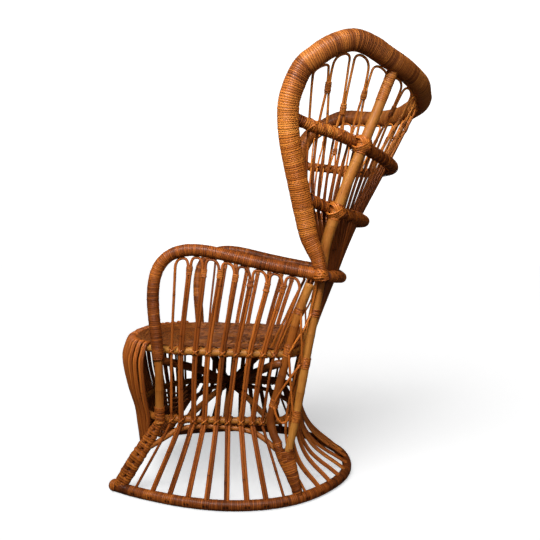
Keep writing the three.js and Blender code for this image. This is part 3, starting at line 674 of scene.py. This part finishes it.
INSET = R_HOOP + R_REED + 1.2
lv_upper, lv_middle, lv_lower = level(HOOP_UPPER, 46, INSET), level(HOOP_MIDDLE, 2, INSET), level(HOOP_LOWER, 12, INSET)
lv_seat = level([[x, y, float(seat_z(y))] for x, y in BACK_SEAT_HALF], 0, 0)
lv_waist = level([[x, y, WAIST_Z] for x, y in BACK_WAIST_HALF], 0, 0)
ring_a = ring_line.where(1, 92)
ring_b = ring_line.total - ring_a
# pairs of the back that go on to the floor ring; the short ones stop at the waist rail
LONG = [p for p in range(N_BACK + 1) if p not in SHORT]
lv_ring = []
for i in range(2 * N_BACK):
    p = (i + 1) // 2
    shift = 0 if i in (0, 2 * N_BACK - 1) else (-3.7 if i % 2 else 3.7)
    f = LONG.index(p) / (len(LONG) - 1) if p in LONG else 0
    q = ring_line.at(ring_a + f * (ring_b - ring_a) + shift).copy()
    q[2] = 2 * R_RING - 3
    lv_ring.append(q)
apex_from = Line(spline(full(BORDER_HALF)[:11], 10)).total
apex_step = (border_line.total - 2 * apex_from) / (N_BACK - 1)


def from_border(u, d):
    s = apex_from + u * apex_step
    p, t = border_line.at(s), border_line.dir(s)
    f = min(max((u + 0.5) / N_BACK, 0), 1) * (len(lv_upper) - 1)
    i = min(int(f), len(lv_upper) - 2)
    inn = lv_upper[i] + (lv_upper[i + 1] - lv_upper[i]) * (f - i) - p
    inn = unit(inn - (inn @ t) * t)
    return p + inn * d, t, inn


def back_pair(pair):
    """Where two neighbouring back reeds meet: on the border's inner edge and at the upper hoop."""
    p, t, _ = from_border(pair - 0.5, R_BORDER)
    return p, 0.5 * (lv_upper[2 * pair - 1] + lv_upper[2 * pair]), t


def back_leg(i, pair, sign):
    if pair in (0, N_BACK):
        top = [from_border(pair - 0.5, R_BORDER + R_REED + 3)[0]]
    else:
        p, foot, t = back_pair(pair)
        long = pair in (2, N_BACK - 2)
        top = [p + (foot - p) * f + t * sign * d for f, d in (((0.62, PAIR), (0.3, 4.8), (0.12, 6.5)) if long else ((0.38, PAIR), (0.21, 4.4), (0.12, 6.0)))]
    w, r = lv_waist[i], lv_ring[i]
    if pair in SHORT:
        start = [w - np.array([0, 0, R_WAIST + 4])]
    else:
        start = [r] + [np.array([w[0] + (r[0] - w[0]) * f, w[1] + (r[1] - w[1]) * f, z]) for z, f in SKIRT][::-1]
    return np.array([*start, w, lv_seat[i], lv_lower[i], lv_middle[i], lv_upper[i], *top])


def back_hairpin(h):
    a, b = back_leg(2 * h, h, 1), back_leg(2 * h + 1, h + 1, -1)
    apex = from_border(h, R_BORDER + R_REED - 0.6)[0]
    return np.vstack([a, arch_over(a[-1], b[-1], apex, 18, 0.86), b[::-1]])


# ---------------------------------------------------------------- wound members
def border_radius(s):
    d = np.minimum(s, border_line.total - s)
    return np.interp(d, [0, 40, 80, 130, 200, 760, 1000, 1150], [15.5, 18, 21.5, 24, R_BORDER, R_BORDER, R_BORDER + 1.5, R_BORDER + 2.5])


def border_inner(S):
    """Direction from the border into the back, along its length."""
    u = np.linspace(-apex_from / apex_step, N_BACK - 1 + apex_from / apex_step, 60)
    d = np.array([from_border(v, 0)[2] for v in u])
    return np.stack([np.interp(S, apex_from + u * apex_step, d[:, k]) for k in range(3)], -1)


def border_tone(S):
    """Lengths of cane of different age: a darker piece by each lower end and some short dark lengths. The upper rear
    stretch and the far half are darkened as painted shade.
    """
    t = runs(len(S), 0.69, 0.065, 5, 16, 0.065)
    d = np.minimum(S, border_line.total - S)
    # painted shade: the upper rear stretch, which turns away from the light, and the whole far half are darkened
    t -= 0.19 * (d < 118) + np.interp(d, [380, 470, 600, 700, 860, 980], [0, 0.11, 0.25, 0.3, 0.18, 0.0]) + 0.08 * (S > 0.5 * border_line.total)
    for at, width, drop in ((196, 11, 0.2), (196 + 46, 4, 0.1), (735, 20, 0.12), (790, 14, 0.15), (862, 30, 0.14), (1010, 16, 0.14), (1230, 40, 0.1), (border_line.total - 205, 12, 0.2), (border_line.total - 700, 25, 0.14)):
        t -= drop * (np.abs(S - at) < width)
    return np.clip(t, 0.05, 0.95)


sh = Shape()
wound(sh, border_line, -10, border_line.total + 10, border_radius, sides=30, pitch=5.0, depth=0.95, tones=border_tone, lean=1.0, rough=0.2, vary=0.2, ref=border_inner, e=0.82)
sh.build("border_cane", WRAP, ["back_border"])

stake_marks = [ring_line.where(1, y) for y in SIDE_RING_Y]
stake_marks += [ring_line.total - s for s in stake_marks]
stake_marks += [ring_a + f * (ring_b - ring_a) for f in np.linspace(0, 1, len(LONG))]
stake_marks = np.array(stake_marks)


def ring_bite(S, strip, a):
    d = np.abs(S[..., None] - stake_marks).min(-1)
    # the holes where stakes enter are cut in and darkened: painted shade in the holes
    hit = np.exp(-(((d - 4.0) / 3.3) ** 4)) * np.exp(-(((a - 1.72) / 0.36) ** 4))
    return 2.4 * hit, hit


sh = Shape()
wound(sh, ring_line, -4, ring_line.total + 4, R_RING, sides=24, pitch=5.2, depth=0.7, ref=UPZ, mean=0.22, spread=0.1, bite=ring_bite)
sh.build("ring_cane", WRAP, ["base_ring"])

for name, s in SIDES:
    line = Line(side(arm_line.P, s))
    end = line.where(2, 386)
    sh = Shape()
    wound(sh, line, 0, end, lambda S: R_ARM - 0.9 * np.clip((S - 560) / 200, 0, 1), sides=22, pitch=4.8, depth=0.75, mean=0.33, spread=0.07, lean=0.9)
    wound(sh, line, line.where(2, 252), line.where(2, 206), R_POST + 2.2, sides=18, pitch=4.4, depth=0.8, mean=0.5, rough=0.4, lean=1.6)
    sh.build(f"{name}_arm_cane", WRAP, [f"{name}_arm_bow"])
    sh = Shape()
    stick(sh, line, end - 10, line.total, R_POST, sides=16, mean=0.5, knots=[end + 88], stain=0.4, bulge=0.6)
    sh.build(f"{name}_post_bare", BARE)

for key, line in hoop_lines.items():
    sh = Shape()
    # painted shade: each hoop is darker away from its ends, along the rear part that turns away from the light
    wound(sh, line, 0, line.total, lambda S: R_HOOP + 2.5 * np.exp(-np.minimum(S, line.total - S) / 14) * (key != "lower"), sides=20, pitch=5.4, depth=1.0, tones=lambda S: np.clip(runs(len(S), 0.5, 0.12) + np.interp(np.minimum(S, line.total - S), [170, 270], [0.0, -0.16]), 0.05, 0.95), rough=0.45, lean=1.8)
    sh.build(f"{key}_hoop_cane", WRAP, [f"{key}_back_hoop"])

# ---------------------------------------------------------------- poles and legs
for name, s in SIDES:
    line = Line(side(pole_line.P, s))
    sh = Shape()
    z = lambda v: line.where(2, v)
    thick = lambda S: np.interp(line.at(S)[..., 2], [160, 242, 396, 544, 611, 696, 806, 957, 1067], [11, 11, 11.4, 12.2, 13, 14, 14.4, 14.2, 13.2])
    # painted light: the pole is paler toward the floor, evening out the dimmer light that reaches its lower part
    pole_tone_with_painted_light = lambda S: np.interp(line.at(S)[..., 2], [160, 500, 640, 800, 1000], [0.6, 0.56, 0.49, 0.47, 0.46])
    stick(sh, line, 0, line.total + 26, thick, sides=18, mean=pole_tone_with_painted_light, knots=[z(905), z(742), z(455), z(300)], bulge=0.5, stain=0.3, spread=0.05)
    sh.build(f"{name}_pole_bare", BARE, [f"{name}_back_pole"])
    sh = Shape()
    wound(sh, line, 0, z(1056), 14.6, sides=18, pitch=4.6, mean=0.5, lean=1.2, rough=0.25)
    for top, bottom in ((523, 503), (394, 364), (252, 221)):
        wound(sh, line, z(top), z(bottom), lambda S: thick(S) + 1.7, sides=18, pitch=4.6, depth=0.9, mean=0.46, rough=0.45, lean=2.0)
    legl = Line(side(leg_line.P, s))
    zl = lambda v: legl.where(2, v)
    for top, bottom in ((527, 511), (431, 398), (280, 257)):
        wound(sh, legl, zl(top), zl(bottom), R_LEG + 1.5, sides=18, pitch=4.6, depth=0.9, mean=0.46, rough=0.45, lean=2.0)
    # lacing canes between the two: crossed twice, a loop below and one down from the shoulder
    for P in (
        [[272, 80, 516], [272, 80, 470], [266, 81.5, 430], [261, 82, 398], [258, 84, 380]],
        [[258, 106, 512], [266, 87, 472], [270, 69, 445], [268, 53, 416], [266, 46, 406]],
        [[268, 48, 402], [264, 51, 353], [262, 53.6, 307], [262, 57, 258], [262, 60, 240]],
        [[258, 78, 376], [264, 45, 334], [262, 21, 297], [257, 9, 270], [255, 5, 262]],
        [[256, 8, 262], [258, 11, 248], [260, 19, 228], [260, 31, 219], [262, 43, 225], [264, 48, 240]],
        [[266, 122, 600], [262, 113, 552], [258, 106, 520], [256, 104, 508]],
        [[232, -4, 412], [236, 40, 505], [247, 90, 604]],
        [[230, 16, 412], [234, 57, 502], [245, 102, 604]],
        [[226, 36, 412], [231, 74, 502], [243, 112, 602]],
    ):
        l = Line(side(bend(P, 9), s))
        stick(sh, l, 0, l.total, 3.2, sides=8, mean=0.55, step=8, spread=0.08)
    # crossed turns where the pole meets the hoops
    for key in ("upper", "middle"):
        hoop = hoop_lines[key]
        hp = hoop.P if s > 0 else mirror(hoop.P)
        gap = np.linalg.norm(hp[:, None] - line.P[None], axis=2)
        i, j = np.unravel_index(np.argmin(gap), gap.shape)
        c, q = hp[i], line.P[j]
        along = unit(hp[i + 1] - hp[i - 1])
        up = unit(line.P[j - 1] - line.P[j + 1])
        at = line.L[j]
        wound(sh, line, at - 21, at + 23, lambda S: thick(S) + 1.2, sides=18, pitch=5.0, depth=0.9, mean=0.5, rough=0.4, lean=2.6)
        cross_lash(sh, [(c, along, R_HOOP + 0.4), (q, up, 15.4)], width=5.4, turns=4, mean=0.55, angle=50, lift=0.5)
    sh.build(f"{name}_pole_lashings", WRAP)
    sh = Shape()
    # painted shade: the rear leg is darker toward the floor, most of all under the seat
    stick(sh, legl, 0, legl.total, R_LEG, sides=16, mean=lambda S: np.interp(legl.at(S)[..., 2], [210, 370, 440, 590], [0.14, 0.18, 0.36, 0.46]), knots=[zl(478), zl(345)], bulge=0.7, stain=0.45)
    sh.build(f"{name}_leg_bare", BARE, [f"{name}_rear_leg"])

# ---------------------------------------------------------------- rails
for key, lp, r in (("seat", seat_loop, R_SEAT), ("waist", waist_loop, R_WAIST)):
    sh = Shape()
    stick(sh, lp, 0, lp.total, r, sides=16, mean=0.6 if key == "seat" else 0.42, ref=UPZ, stain=0.5, knots=[lp.total * f for f in (0.13, 0.31, 0.45, 0.62, 0.78, 0.93)], wobble=0.0)
    sh.build(f"{key}_rail_bare", BARE, [f"{key}_rail"])

# ---------------------------------------------------------------- feet
for name, s in SIDES:
    line = Line(side(spline(FOOT, 16), s))
    L = line.total

    def foot_shape(S, a):
        return -2.0 * np.exp(-((20 * np.sin(a) / 4.5) ** 2)) + 0 * S

    def foot_bite(S, strip, a):
        y = 20 * np.sin(a)
        third = strip % 3 == 0
        # the holes are cut in and darkened: painted shade in them
        hit = third * (S > 10) * (S < L - 16) * np.exp(-((y / 3.2) ** 4))
        return 3.4 * hit + 0.3 * third, np.maximum(hit, 0.12 * third)

    sh = Shape()
    wide = lambda S: np.interp(S / L, [0, 0.18, 0.45, 0.8, 1], [14, 17, 20.5, 21.5, 19])
    wound(sh, line, -8, L + 2, 12.0, wide, sides=52, pitch=7.6, depth=1.3, ref=UPX, mean=0.54, spread=0.08, e=0.85, shape=foot_shape, bite=foot_bite, rough=0.5, lean=1.2, vary=0.1)
    sh.build(f"{name}_front_foot_cane", WRAP, [f"{name}_front_foot"])
    # rear foot: two wound branches that run into one
    leg_b = Line(side(spline([[254, 14.5, 166], [253.5, 22.5, 138], [253, 34, 108]], 12), s))
    pole_b = Line(side(spline([[255.5, 50, 152], [254.5, 48, 136], [253.5, 47, 112]], 12), s))
    stem = Line(side(spline([[253.5, 36, 144], [253, 43, 116], [253, 56, 78], [252, 67, 42], [252, 73, 18]], 12), s))
    sh = Shape()
    wound(sh, leg_b, 0, leg_b.total, 12.6, sides=20, pitch=4.8, depth=0.9, mean=0.38, rough=0.35, lean=1.4)
    wound(sh, pole_b, 0, pole_b.total, 12.8, sides=20, pitch=4.8, depth=0.9, mean=0.38, rough=0.35, lean=1.4)
    wound(sh, stem, 0, stem.total, 13.4, lambda S: np.interp(S / stem.total, [0, 0.2, 0.5, 0.8, 1], [26, 24, 18.5, 14.4, 13.4]), sides=28, pitch=5.2, depth=0.9, ref=UPX, mean=0.31, rough=0.3, lean=1.4)
    sh.build(f"{name}_rear_foot_cane", WRAP, [f"{name}_rear_foot"])

# ---------------------------------------------------------------- reeds
def reed_shade(P):
    """Painted shade and light on the back reeds: darker toward the floor and along the outer part of the back, which
    lie in shade, and paler up at the border, where the light falls.
    """
    x, z = np.abs(P[..., 0]), P[..., 2]
    return np.interp(z, [230, 480, 860, 960], [-0.08, 0, 0, 0.12]) - 0.4 * np.interp(z, [480, 560, 880, 960], [0, 1, 1, 0]) * np.interp(x, [0, 60, 140], [0.5, 0.7, 1])


for h in range(N_BACK):
    P = bend(back_hairpin(h), 8)
    l = Line(P)
    sh = Shape()
    k0 = RNG.uniform(150, 420)
    m0 = 0.67 + 0.09 * RNG.normal()
    stick(sh, l, 0, l.total, lambda S: np.interp(l.at(S)[..., 2], [450, 600, 800, 930, 1040], [3.9, 4.5, 4.4, 3.6, 3.2]), sides=8, step=11, mean=lambda S: m0 + reed_shade(l.at(S)), knots=list(np.arange(k0, l.total, 390)), bulge=0.35, spread=0.07, wobble=0.15)
    sh.build(f"back_reed_{h + 1}_cane", REED, [f"back_reed_{h + 1}"])
for name, s in SIDES:
    for k in range(N_SIDE):
        P = side(bend(side_hairpin(k), 8), s)
        l = Line(P)
        sh = Shape()
        k0 = RNG.uniform(120, 320)
        m0 = 0.4 + 0.12 * RNG.normal()
        # painted shade: the side reeds darken toward the floor below the seat
        stick(sh, l, 0, l.total, 3.9, sides=8, step=10, mean=lambda S: m0 - 0.05 * np.clip((480 - l.at(S)[..., 2]) / 250, 0, 1), knots=list(np.arange(k0, l.total, 330)), bulge=0.35, spread=0.07, wobble=0.15)
        sh.build(f"{name}_side_reed_{k + 1}_cane", REED, [f"{name}_side_reed_{k + 1}"])

# bindings of neighbouring reeds under the arms and below the border
for name, s in SIDES:
    sh = Shape()
    for k in range(1, N_SIDE):
        bind, seat = side_stake(k)[3], side_stake(k)[2]
        d = unit(seat - bind)
        p = side(bind + d * RNG.uniform(6, 14), s)
        l = straight(p, side(d, s), RNG.uniform(20, 26))
        wound(sh, l, 0, l.total, PAIR + R_REED + 1.3, R_REED + 1.5, pitch=4.4, sides=16, depth=0.8, ref=np.array([0.0, 1, 0]), e=0.85, mean=0.52, spread=0.1, rough=0.45, lean=0.9)
    sh.build(f"{name}_side_bindings", WRAP)
sh = Shape()
for pair in range(1, N_BACK):
    p, foot, t = back_pair(pair)
    d = unit(foot - p)
    at = p + (foot - p) * (0.62 if pair in (2, N_BACK - 2) else 0.36) + d * RNG.uniform(0, 7)
    l = straight(at, d, RNG.uniform(19, 27))
    wound(sh, l, 0, l.total, PAIR + R_REED + 1.2, R_REED + 1.5, pitch=4.4, sides=16, depth=0.8, ref=t, e=0.85, mean=0.55, spread=0.1, rough=0.45, lean=0.9)
sh.build("back_bindings", WRAP)

# crossed lashings at the rails
for name, s in SIDES:
    sh = Shape()
    for k in range(N_SIDE + 1):
        _, _, _, _, ws, ss = side_stake(k)
        for half, sv, r in ((seat_half, ss, R_SEAT), (waist_half, ws, R_WAIST)):
            c, d = half.at(sv), half.dir(sv)
            o = np.array([d[1], -d[0], 0])
            cross_lash(sh, [(side(c, s), side(d, s), r + 0.2), (side(c + o * (r + R_REED + 1.2), s), UPZ, R_REED + PAIR * 0.7)], width=4.4, mean=0.5)
    sh.build(f"{name}_rail_lashings", WRAP)

# lashings of the back reeds to the hoops
sh = Shape()
for key, lv in (("upper", lv_upper), ("middle", lv_middle), ("lower", lv_lower)):
    line = hoop_lines[key]
    for i, p in enumerate(lv):
        j = np.argmin(np.linalg.norm(line.P - p, axis=1))
        c, d = line.P[j], unit(line.P[min(j + 1, len(line.P) - 1)] - line.P[max(j - 1, 0)])
        o = unit((p - c) - ((p - c) @ d) * d)
        cross_lash(sh, [(c, d, R_HOOP - 0.4), (c + o * (R_HOOP + R_REED + 1.2), np.cross(o, d), R_REED)], width=6.2, mean=0.42, both=i % 3 == 0, angle=50)
sh.build("hoop_lashings", WRAP)

# ---------------------------------------------------------------- front apron
def off(p, o, d, dz):
    return p + o * d + np.array([0, 0, dz])


sh = Shape()
N_APRON, R_AP = 11, 3.9
s_end, w_end = seat_half.where(1, -334), waist_half.where(1, -334)
swag_line = Line(spline(np.array(SWAG_HALF)[::-1], 12))
g_end = swag_line.total - 12
for j in range(N_APRON):
    for q in (-1, 1):
        f = (j + 0.5) / N_APRON
        sp, wp, gp = f * s_end + q * R_AP, f * w_end + q * R_AP, f * g_end + q * R_AP
        S0, so = seat_half.at(sp), outward(seat_half, max(sp, 5))
        W0, wo = waist_half.at(wp), outward(waist_half, max(wp, 5))
        gd = swag_line.dir(gp)
        go = unit(np.array([gd[1], -gd[0], 0]))
        w = off(W0, wo, R_WAIST + R_AP + 1.0, 0)
        bulge = off(S0, so, 31, -44)
        mid = bulge + (w - bulge) * 0.52 + so * 5
        g = off(swag_line.at(gp), go, R_SWAG + R_AP + 1.0, 0)
        lift = RNG.uniform(-1.2, 1.2)
        pts = np.array([off(S0, so, -6, 9.0), off(S0, so, -3, 13.2 + lift), off(S0, so, 4, 15.6 + lift), off(S0, so, 12, 13.5), off(S0, so, 18.5, 5), off(S0, so, 23, -8), off(S0, so, 28.5, -25), bulge, mid, w, w + (g - w) * 0.55, g])
        for s in (1, -1):
            l = Line(side(bend(pts, 6), s))
            stick(sh, l, 0, l.total, R_AP, sides=8, step=8, mean=0.41 + 0.09 * RNG.normal(), knots=[RNG.uniform(90, 330)], bulge=0.3, stain=0.6)
sh.build("apron_reeds", REED, ["front_apron"])

# ---------------------------------------------------------------- members under the seat
sh = Shape()
for q, dz in enumerate((0, 13, 26, 39)):
    P = full(SWAG_HALF).copy()
    P[:, 2] += dz * (1 - 0.25 * np.abs(P[:, 0]) / 206)
    P[:, 1] += 2.5 * q
    l = Line(spline(P, 12))
    stick(sh, l, 0, l.total, R_SWAG if q == 0 else 5.0, sides=12, mean=0.45)
for s in (1, -1):
    for q in range(4):
        l = Line(side(bend([[214, -312, 286 - 13 * q], [176, -304, 270 - 13.5 * q], [150, -288, 263 - 14 * q], [150, -268, 271 - 13 * q], [158, -252, 286 - 12 * q]], 8), s))
        stick(sh, l, 0, l.total, 3.0, sides=8, step=7, mean=0.3)
sh.build("swag_rods", DARK, ["front_swag"])
for name, s in SIDES:
    sh = Shape()
    l = Line(side(spline([[239, -338, 136]] + SIDE_ARCH, 12), s))
    stick(sh, l, 0, l.total, R_ARCH, sides=12, mean=0.75)
    sh.build(f"{name}_arch_rod", DARK, [f"{name}_side_arch"])
for key in ("a", "b"):
    P = np.array(BRACE, float)
    if key == "b":
        P[:, 2] -= 18 * np.maximum(0, 1 - np.abs(P[:, 0]) / 240)
        P = mirror(P)
    l = Line(spline(P, 12))
    sh = Shape()
    stick(sh, l, 0, l.total, R_BRACE + 1.6, sides=12, mean=0.5, knots=[150, 380])
    for x, y in ((222, -231), (-222, -128), (-222, -14)):
        q = np.array([[0.04 * x, -152, 262], [0.5 * x, -150 + 0.45 * (y + 150), 250], [x, y, 220]])
        l = Line(spline(q if key == "a" else mirror(q), 10))
        stick(sh, l, 0, l.total, 8.5, sides=12, mean=0.62)
    sh.build(f"brace_{key}_rod", DARK, [f"cross_brace_{key}"])

# ---------------------------------------------------------------- woven seat
N_STAKES, N_ROWS = 48, 40
inset = Line(spline(loop_of(seat3), 10, True), True)
u = np.arange(0, 1, 1 / (N_STAKES * 4))
rim = inset.at(u * inset.total)
rd = inset.dir(u * inset.total)
rim = rim - unit(np.stack([rd[:, 1], -rd[:, 0], 0 * rd[:, 0]], -1)) * 1.5
spine = np.stack([0 * u, np.clip(rim[:, 1], -260, -60), 0 * u], -1)
spine[:, 2] = seat_z(spine[:, 1])
sag = lambda t: np.interp(t, [-0.05, 0, 0.04, 0.09, 0.16, 0.4, 1], [9, 12.4, 12.6, 9.5, 5, -1, -4])
flat = np.clip((rim[:, 1] + 345) / 150, 0.3, 1)
sh = Shape()
for r in range(N_ROWS):
    t = (r + 0.35) / N_ROWS * 0.99
    P = rim + (spine - rim) * t
    wave = 1.9 * flat * np.cos(2 * math.pi * N_STAKES / 2 * u + math.pi * (r % 2))
    P[:, 2] += wave + sag(t) + 0.25 * RNG.normal(size=len(u))
    wdt = 0.5 * np.linalg.norm(spine - rim, axis=1) / N_ROWS * 1.3
    # painted shade: the rows are darkened where they dip under the stakes
    tube(sh, P, 1.3, wdt, 6, UPZ, True, np.clip(0.5 + 0.17 * RNG.normal() + 0.07 * RNG.normal(size=len(u)), 0.1, 0.95), 0.75 * (wave < -0.9), 0.85)
# broad strips below, which close the gaps of the weave; they are dark, painted shade seen through the gaps
for r in range(16):
    P = rim + (spine - rim) * (r + 0.5) / 16
    P[:, 2] += sag((r + 1.2) / 16) - 4.3
    tube(sh, P, 0.9, np.linalg.norm(spine - rim, axis=1) / 32 * 1.75, 6, UPZ, True, 0.14, 0.2, 0.85)
for k in range(N_STAKES):
    a, b = rim[4 * k], spine[4 * k]
    tt = np.concatenate([np.linspace(-0.02, 0.2, 8), np.linspace(0.26, 0.97, 12)])
    P = a + (b - a) * tt[:, None]
    P[:, 2] += sag(tt) - 0.3
    tube(sh, P, 1.6, 2.6, 6, UPZ, False, 0.4)
# the middle of the weave: the last turns lie flat on both sides of the line they close on
for x in (-6.2, -2.1, 2.1, 6.2):
    P = np.array([[x, y, float(seat_z(y)) - 3.4 + 0.5 * math.sin(y / 9 + x)] for y in np.linspace(-268 + abs(x), -52 - abs(x), 46)])
    tube(sh, P, 1.4, 2.6, 6, UPZ, False, np.clip(0.5 + 0.1 * RNG.normal() + 0.05 * RNG.normal(size=len(P)), 0.1, 0.95))
sh.build("seat_cane", SEAT, ["seat_panel"])

# ---------------------------------------------------------------- shoulders and ring ends
def ball(sh, c, semi, turns, mean=0.5, core=0.94, width=5.0):
    """A knot wound with strips: turns is [(direction, first offset, last offset, count)]."""
    c, semi = np.asarray(c, float), np.asarray(semi, float)
    z = np.cos(np.linspace(0, math.pi, 14))
    P = c + np.array([0, 0, 1.0]) * (z * semi[2] * core)[:, None]
    rr = np.sqrt(np.clip(1 - z**2, 0.0008, 1))
    # the core under the turns is dark: painted shade in the gaps between them
    tube(sh, P[::-1], rr[::-1] * semi[0] * core, rr[::-1] * semi[1] * core, 20, UPX, False, 0.2, 0.6)
    for n, h0, h1, count in turns:
        n = unit(n)
        e1 = unit(np.cross(n, UPX if abs(n[0]) < 0.8 else np.array([0.0, 1, 0])))
        e2 = np.cross(n, e1)
        for h in np.linspace(h0, h1, count):
            t = np.arange(30) * 2 * math.pi / 30
            rad = math.sqrt(max(1 - h * h, 0.05))
            q = n * h + rad * (np.cos(t)[:, None] * e1 + np.sin(t)[:, None] * e2)
            P = c + q * semi
            nr = unit(q / semi)
            tn = unit(np.roll(P, -1, 0) - np.roll(P, 1, 0))
            tube(sh, P + nr * RNG.uniform(0, 0.7), 0.8, width / 2, 6, nr - np.sum(nr * tn, 1)[:, None] * tn, True, float(np.clip(mean + 0.1 * RNG.normal(), 0, 1)), 0.0, 0.8)


for name, s in SIDES:
    sh = Shape()
    ball(sh, (s * 266, 129, 617), (37, 22.5, 24), [((0, 0.1, 1), -0.84, -0.1, 4), ((0, 0.72, 0.7), -0.1, 0.55, 3), ((0, -0.75, 0.66), -0.1, 0.5, 3), ((0, -0.12, 1), -0.6, 0.2, 4)], mean=0.58, width=5.6)
    sh.build(f"{name}_shoulder_cane", WRAP, [f"{name}_shoulder_lashing"])
    sh = Shape()
    ball(sh, (s * 223, -446, 17.2), (15.5, 16, 15.8), [((0.3, 1, 0.2), -0.7, 0.7, 6), ((1, 0.2, 0.5), -0.4, 0.6, 4)], mean=0.4, width=4.8)
    sh.build(f"{name}_ring_end_cane", WRAP)

# ---------------------------------------------------------------- stage, light and camera
def plain(name, colour, roughness):
    m = bpy.data.materials.new(name)
    m.use_nodes = True
    b = m.node_tree.nodes["Principled BSDF"]
    b.inputs["Base Color"].default_value = (*colour, 1)
    b.inputs["Roughness"].default_value = roughness
    return m


pale = plain("pale_floor", (0.9, 0.9, 0.9), 0.8)
pale.node_tree.nodes["Principled BSDF"].inputs["Emission Color"].default_value = (0.973, 0.985, 1, 1)
pale.node_tree.nodes["Principled BSDF"].inputs["Emission Strength"].default_value = 0.5
bpy.ops.mesh.primitive_plane_add(size=60, location=(0, 0, -0.0004))
floor = bpy.context.object
floor.name = "floor"
floor.data.materials.append(pale)
floor.visible_diffuse = floor.visible_glossy = False
white = plain("white_paper", (1, 1, 1), 1.0)
white.node_tree.nodes["Principled BSDF"].inputs["Emission Color"].default_value = (1, 1, 1, 1)
white.node_tree.nodes["Principled BSDF"].inputs["Emission Strength"].default_value = 1.2
bpy.ops.mesh.primitive_uv_sphere_add(segments=48, ring_count=24, radius=28)
paper = bpy.context.object
paper.name = "backdrop"
paper.data.materials.append(white)
paper.visible_diffuse = paper.visible_glossy = paper.visible_shadow = paper.visible_transmission = False

world = bpy.data.worlds.new("studio")
bpy.context.scene.world = world
world.use_nodes = True
bg = world.node_tree.nodes["Background"]
bg.inputs[0].default_value = (1, 0.86, 0.7, 1)
bg.inputs[1].default_value = 0.05


def lamp(name, place, target, size, watts, colour=(1, 1, 1)):
    d = bpy.data.lights.new(name, "AREA")
    d.shape = "RECTANGLE"
    d.size, d.size_y = size
    d.energy = watts
    d.color = colour
    o = bpy.data.objects.new(name, d)
    o.location = place
    o.rotation_euler = (Vector(target) - Vector(place)).to_track_quat("-Z", "Y").to_euler()
    bpy.context.scene.collection.objects.link(o)
    return o


chair_only = bpy.data.collections.new("chair_light")
chair_only.objects.link(floor)
chair_only.collection_objects[0].light_linking.link_state = "EXCLUDE"
floor_only = bpy.data.collections.new("floor_light")
floor_only.objects.link(floor)
key = lamp("key", (1.5, -0.36, 1.75), (0.15, 0.1, 0.7), (1.5, 0.45), 58)
fill = lamp("fill", (1.9, 1.1, 0.8), (0.1, 0.15, 0.5), (1.2, 1.2), 6.4, (1, 0.9, 0.8))
d = bpy.data.lights.new("top", "SUN")
d.energy, d.angle = 0.2, math.radians(40)
top = bpy.data.objects.new("top", d)
d = bpy.data.lights.new("overhead", "SUN")
d.energy, d.angle = 2.7, math.radians(46)
overhead = bpy.data.objects.new("overhead", d)
for o, aim in ((top, (-0.15, 0.4, -0.9)), (overhead, (-0.72, 0.18, -0.67))):
    o.rotation_euler = Vector(aim).to_track_quat("-Z", "Y").to_euler()
    bpy.context.scene.collection.objects.link(o)
for o in (key, fill, top):
    o.light_linking.receiver_collection = chair_only
overhead.light_linking.receiver_collection = floor_only

cam = bpy.data.cameras.new("camera")
cam.sensor_width = 36
cam.lens = 36.2
cam.shift_y = 0.0022
view = bpy.data.objects.new("camera", cam)
bpy.context.scene.collection.objects.link(view)
yaw = math.atan((316 - 270) / 540)
pitch = math.atan((270 - 249) / 540 * math.cos(yaw))
F0 = Vector((-math.cos(yaw), -math.sin(yaw), 0))
right = Vector((-math.sin(yaw), math.cos(yaw), 0))
fwd = F0 * math.cos(pitch) - Vector((0, 0, 1)) * math.sin(pitch)
up = right.cross(fwd)
view.matrix_world = Matrix(((right.x, up.x, -fwd.x, 1.69), (right.y, up.y, -fwd.y, 0.119), (right.z, up.z, -fwd.z, 0.68), (0, 0, 0, 1)))
bpy.context.scene.camera = view
bpy.context.scene.view_settings.view_transform = "Standard"

bpy.context.view_layer.update()
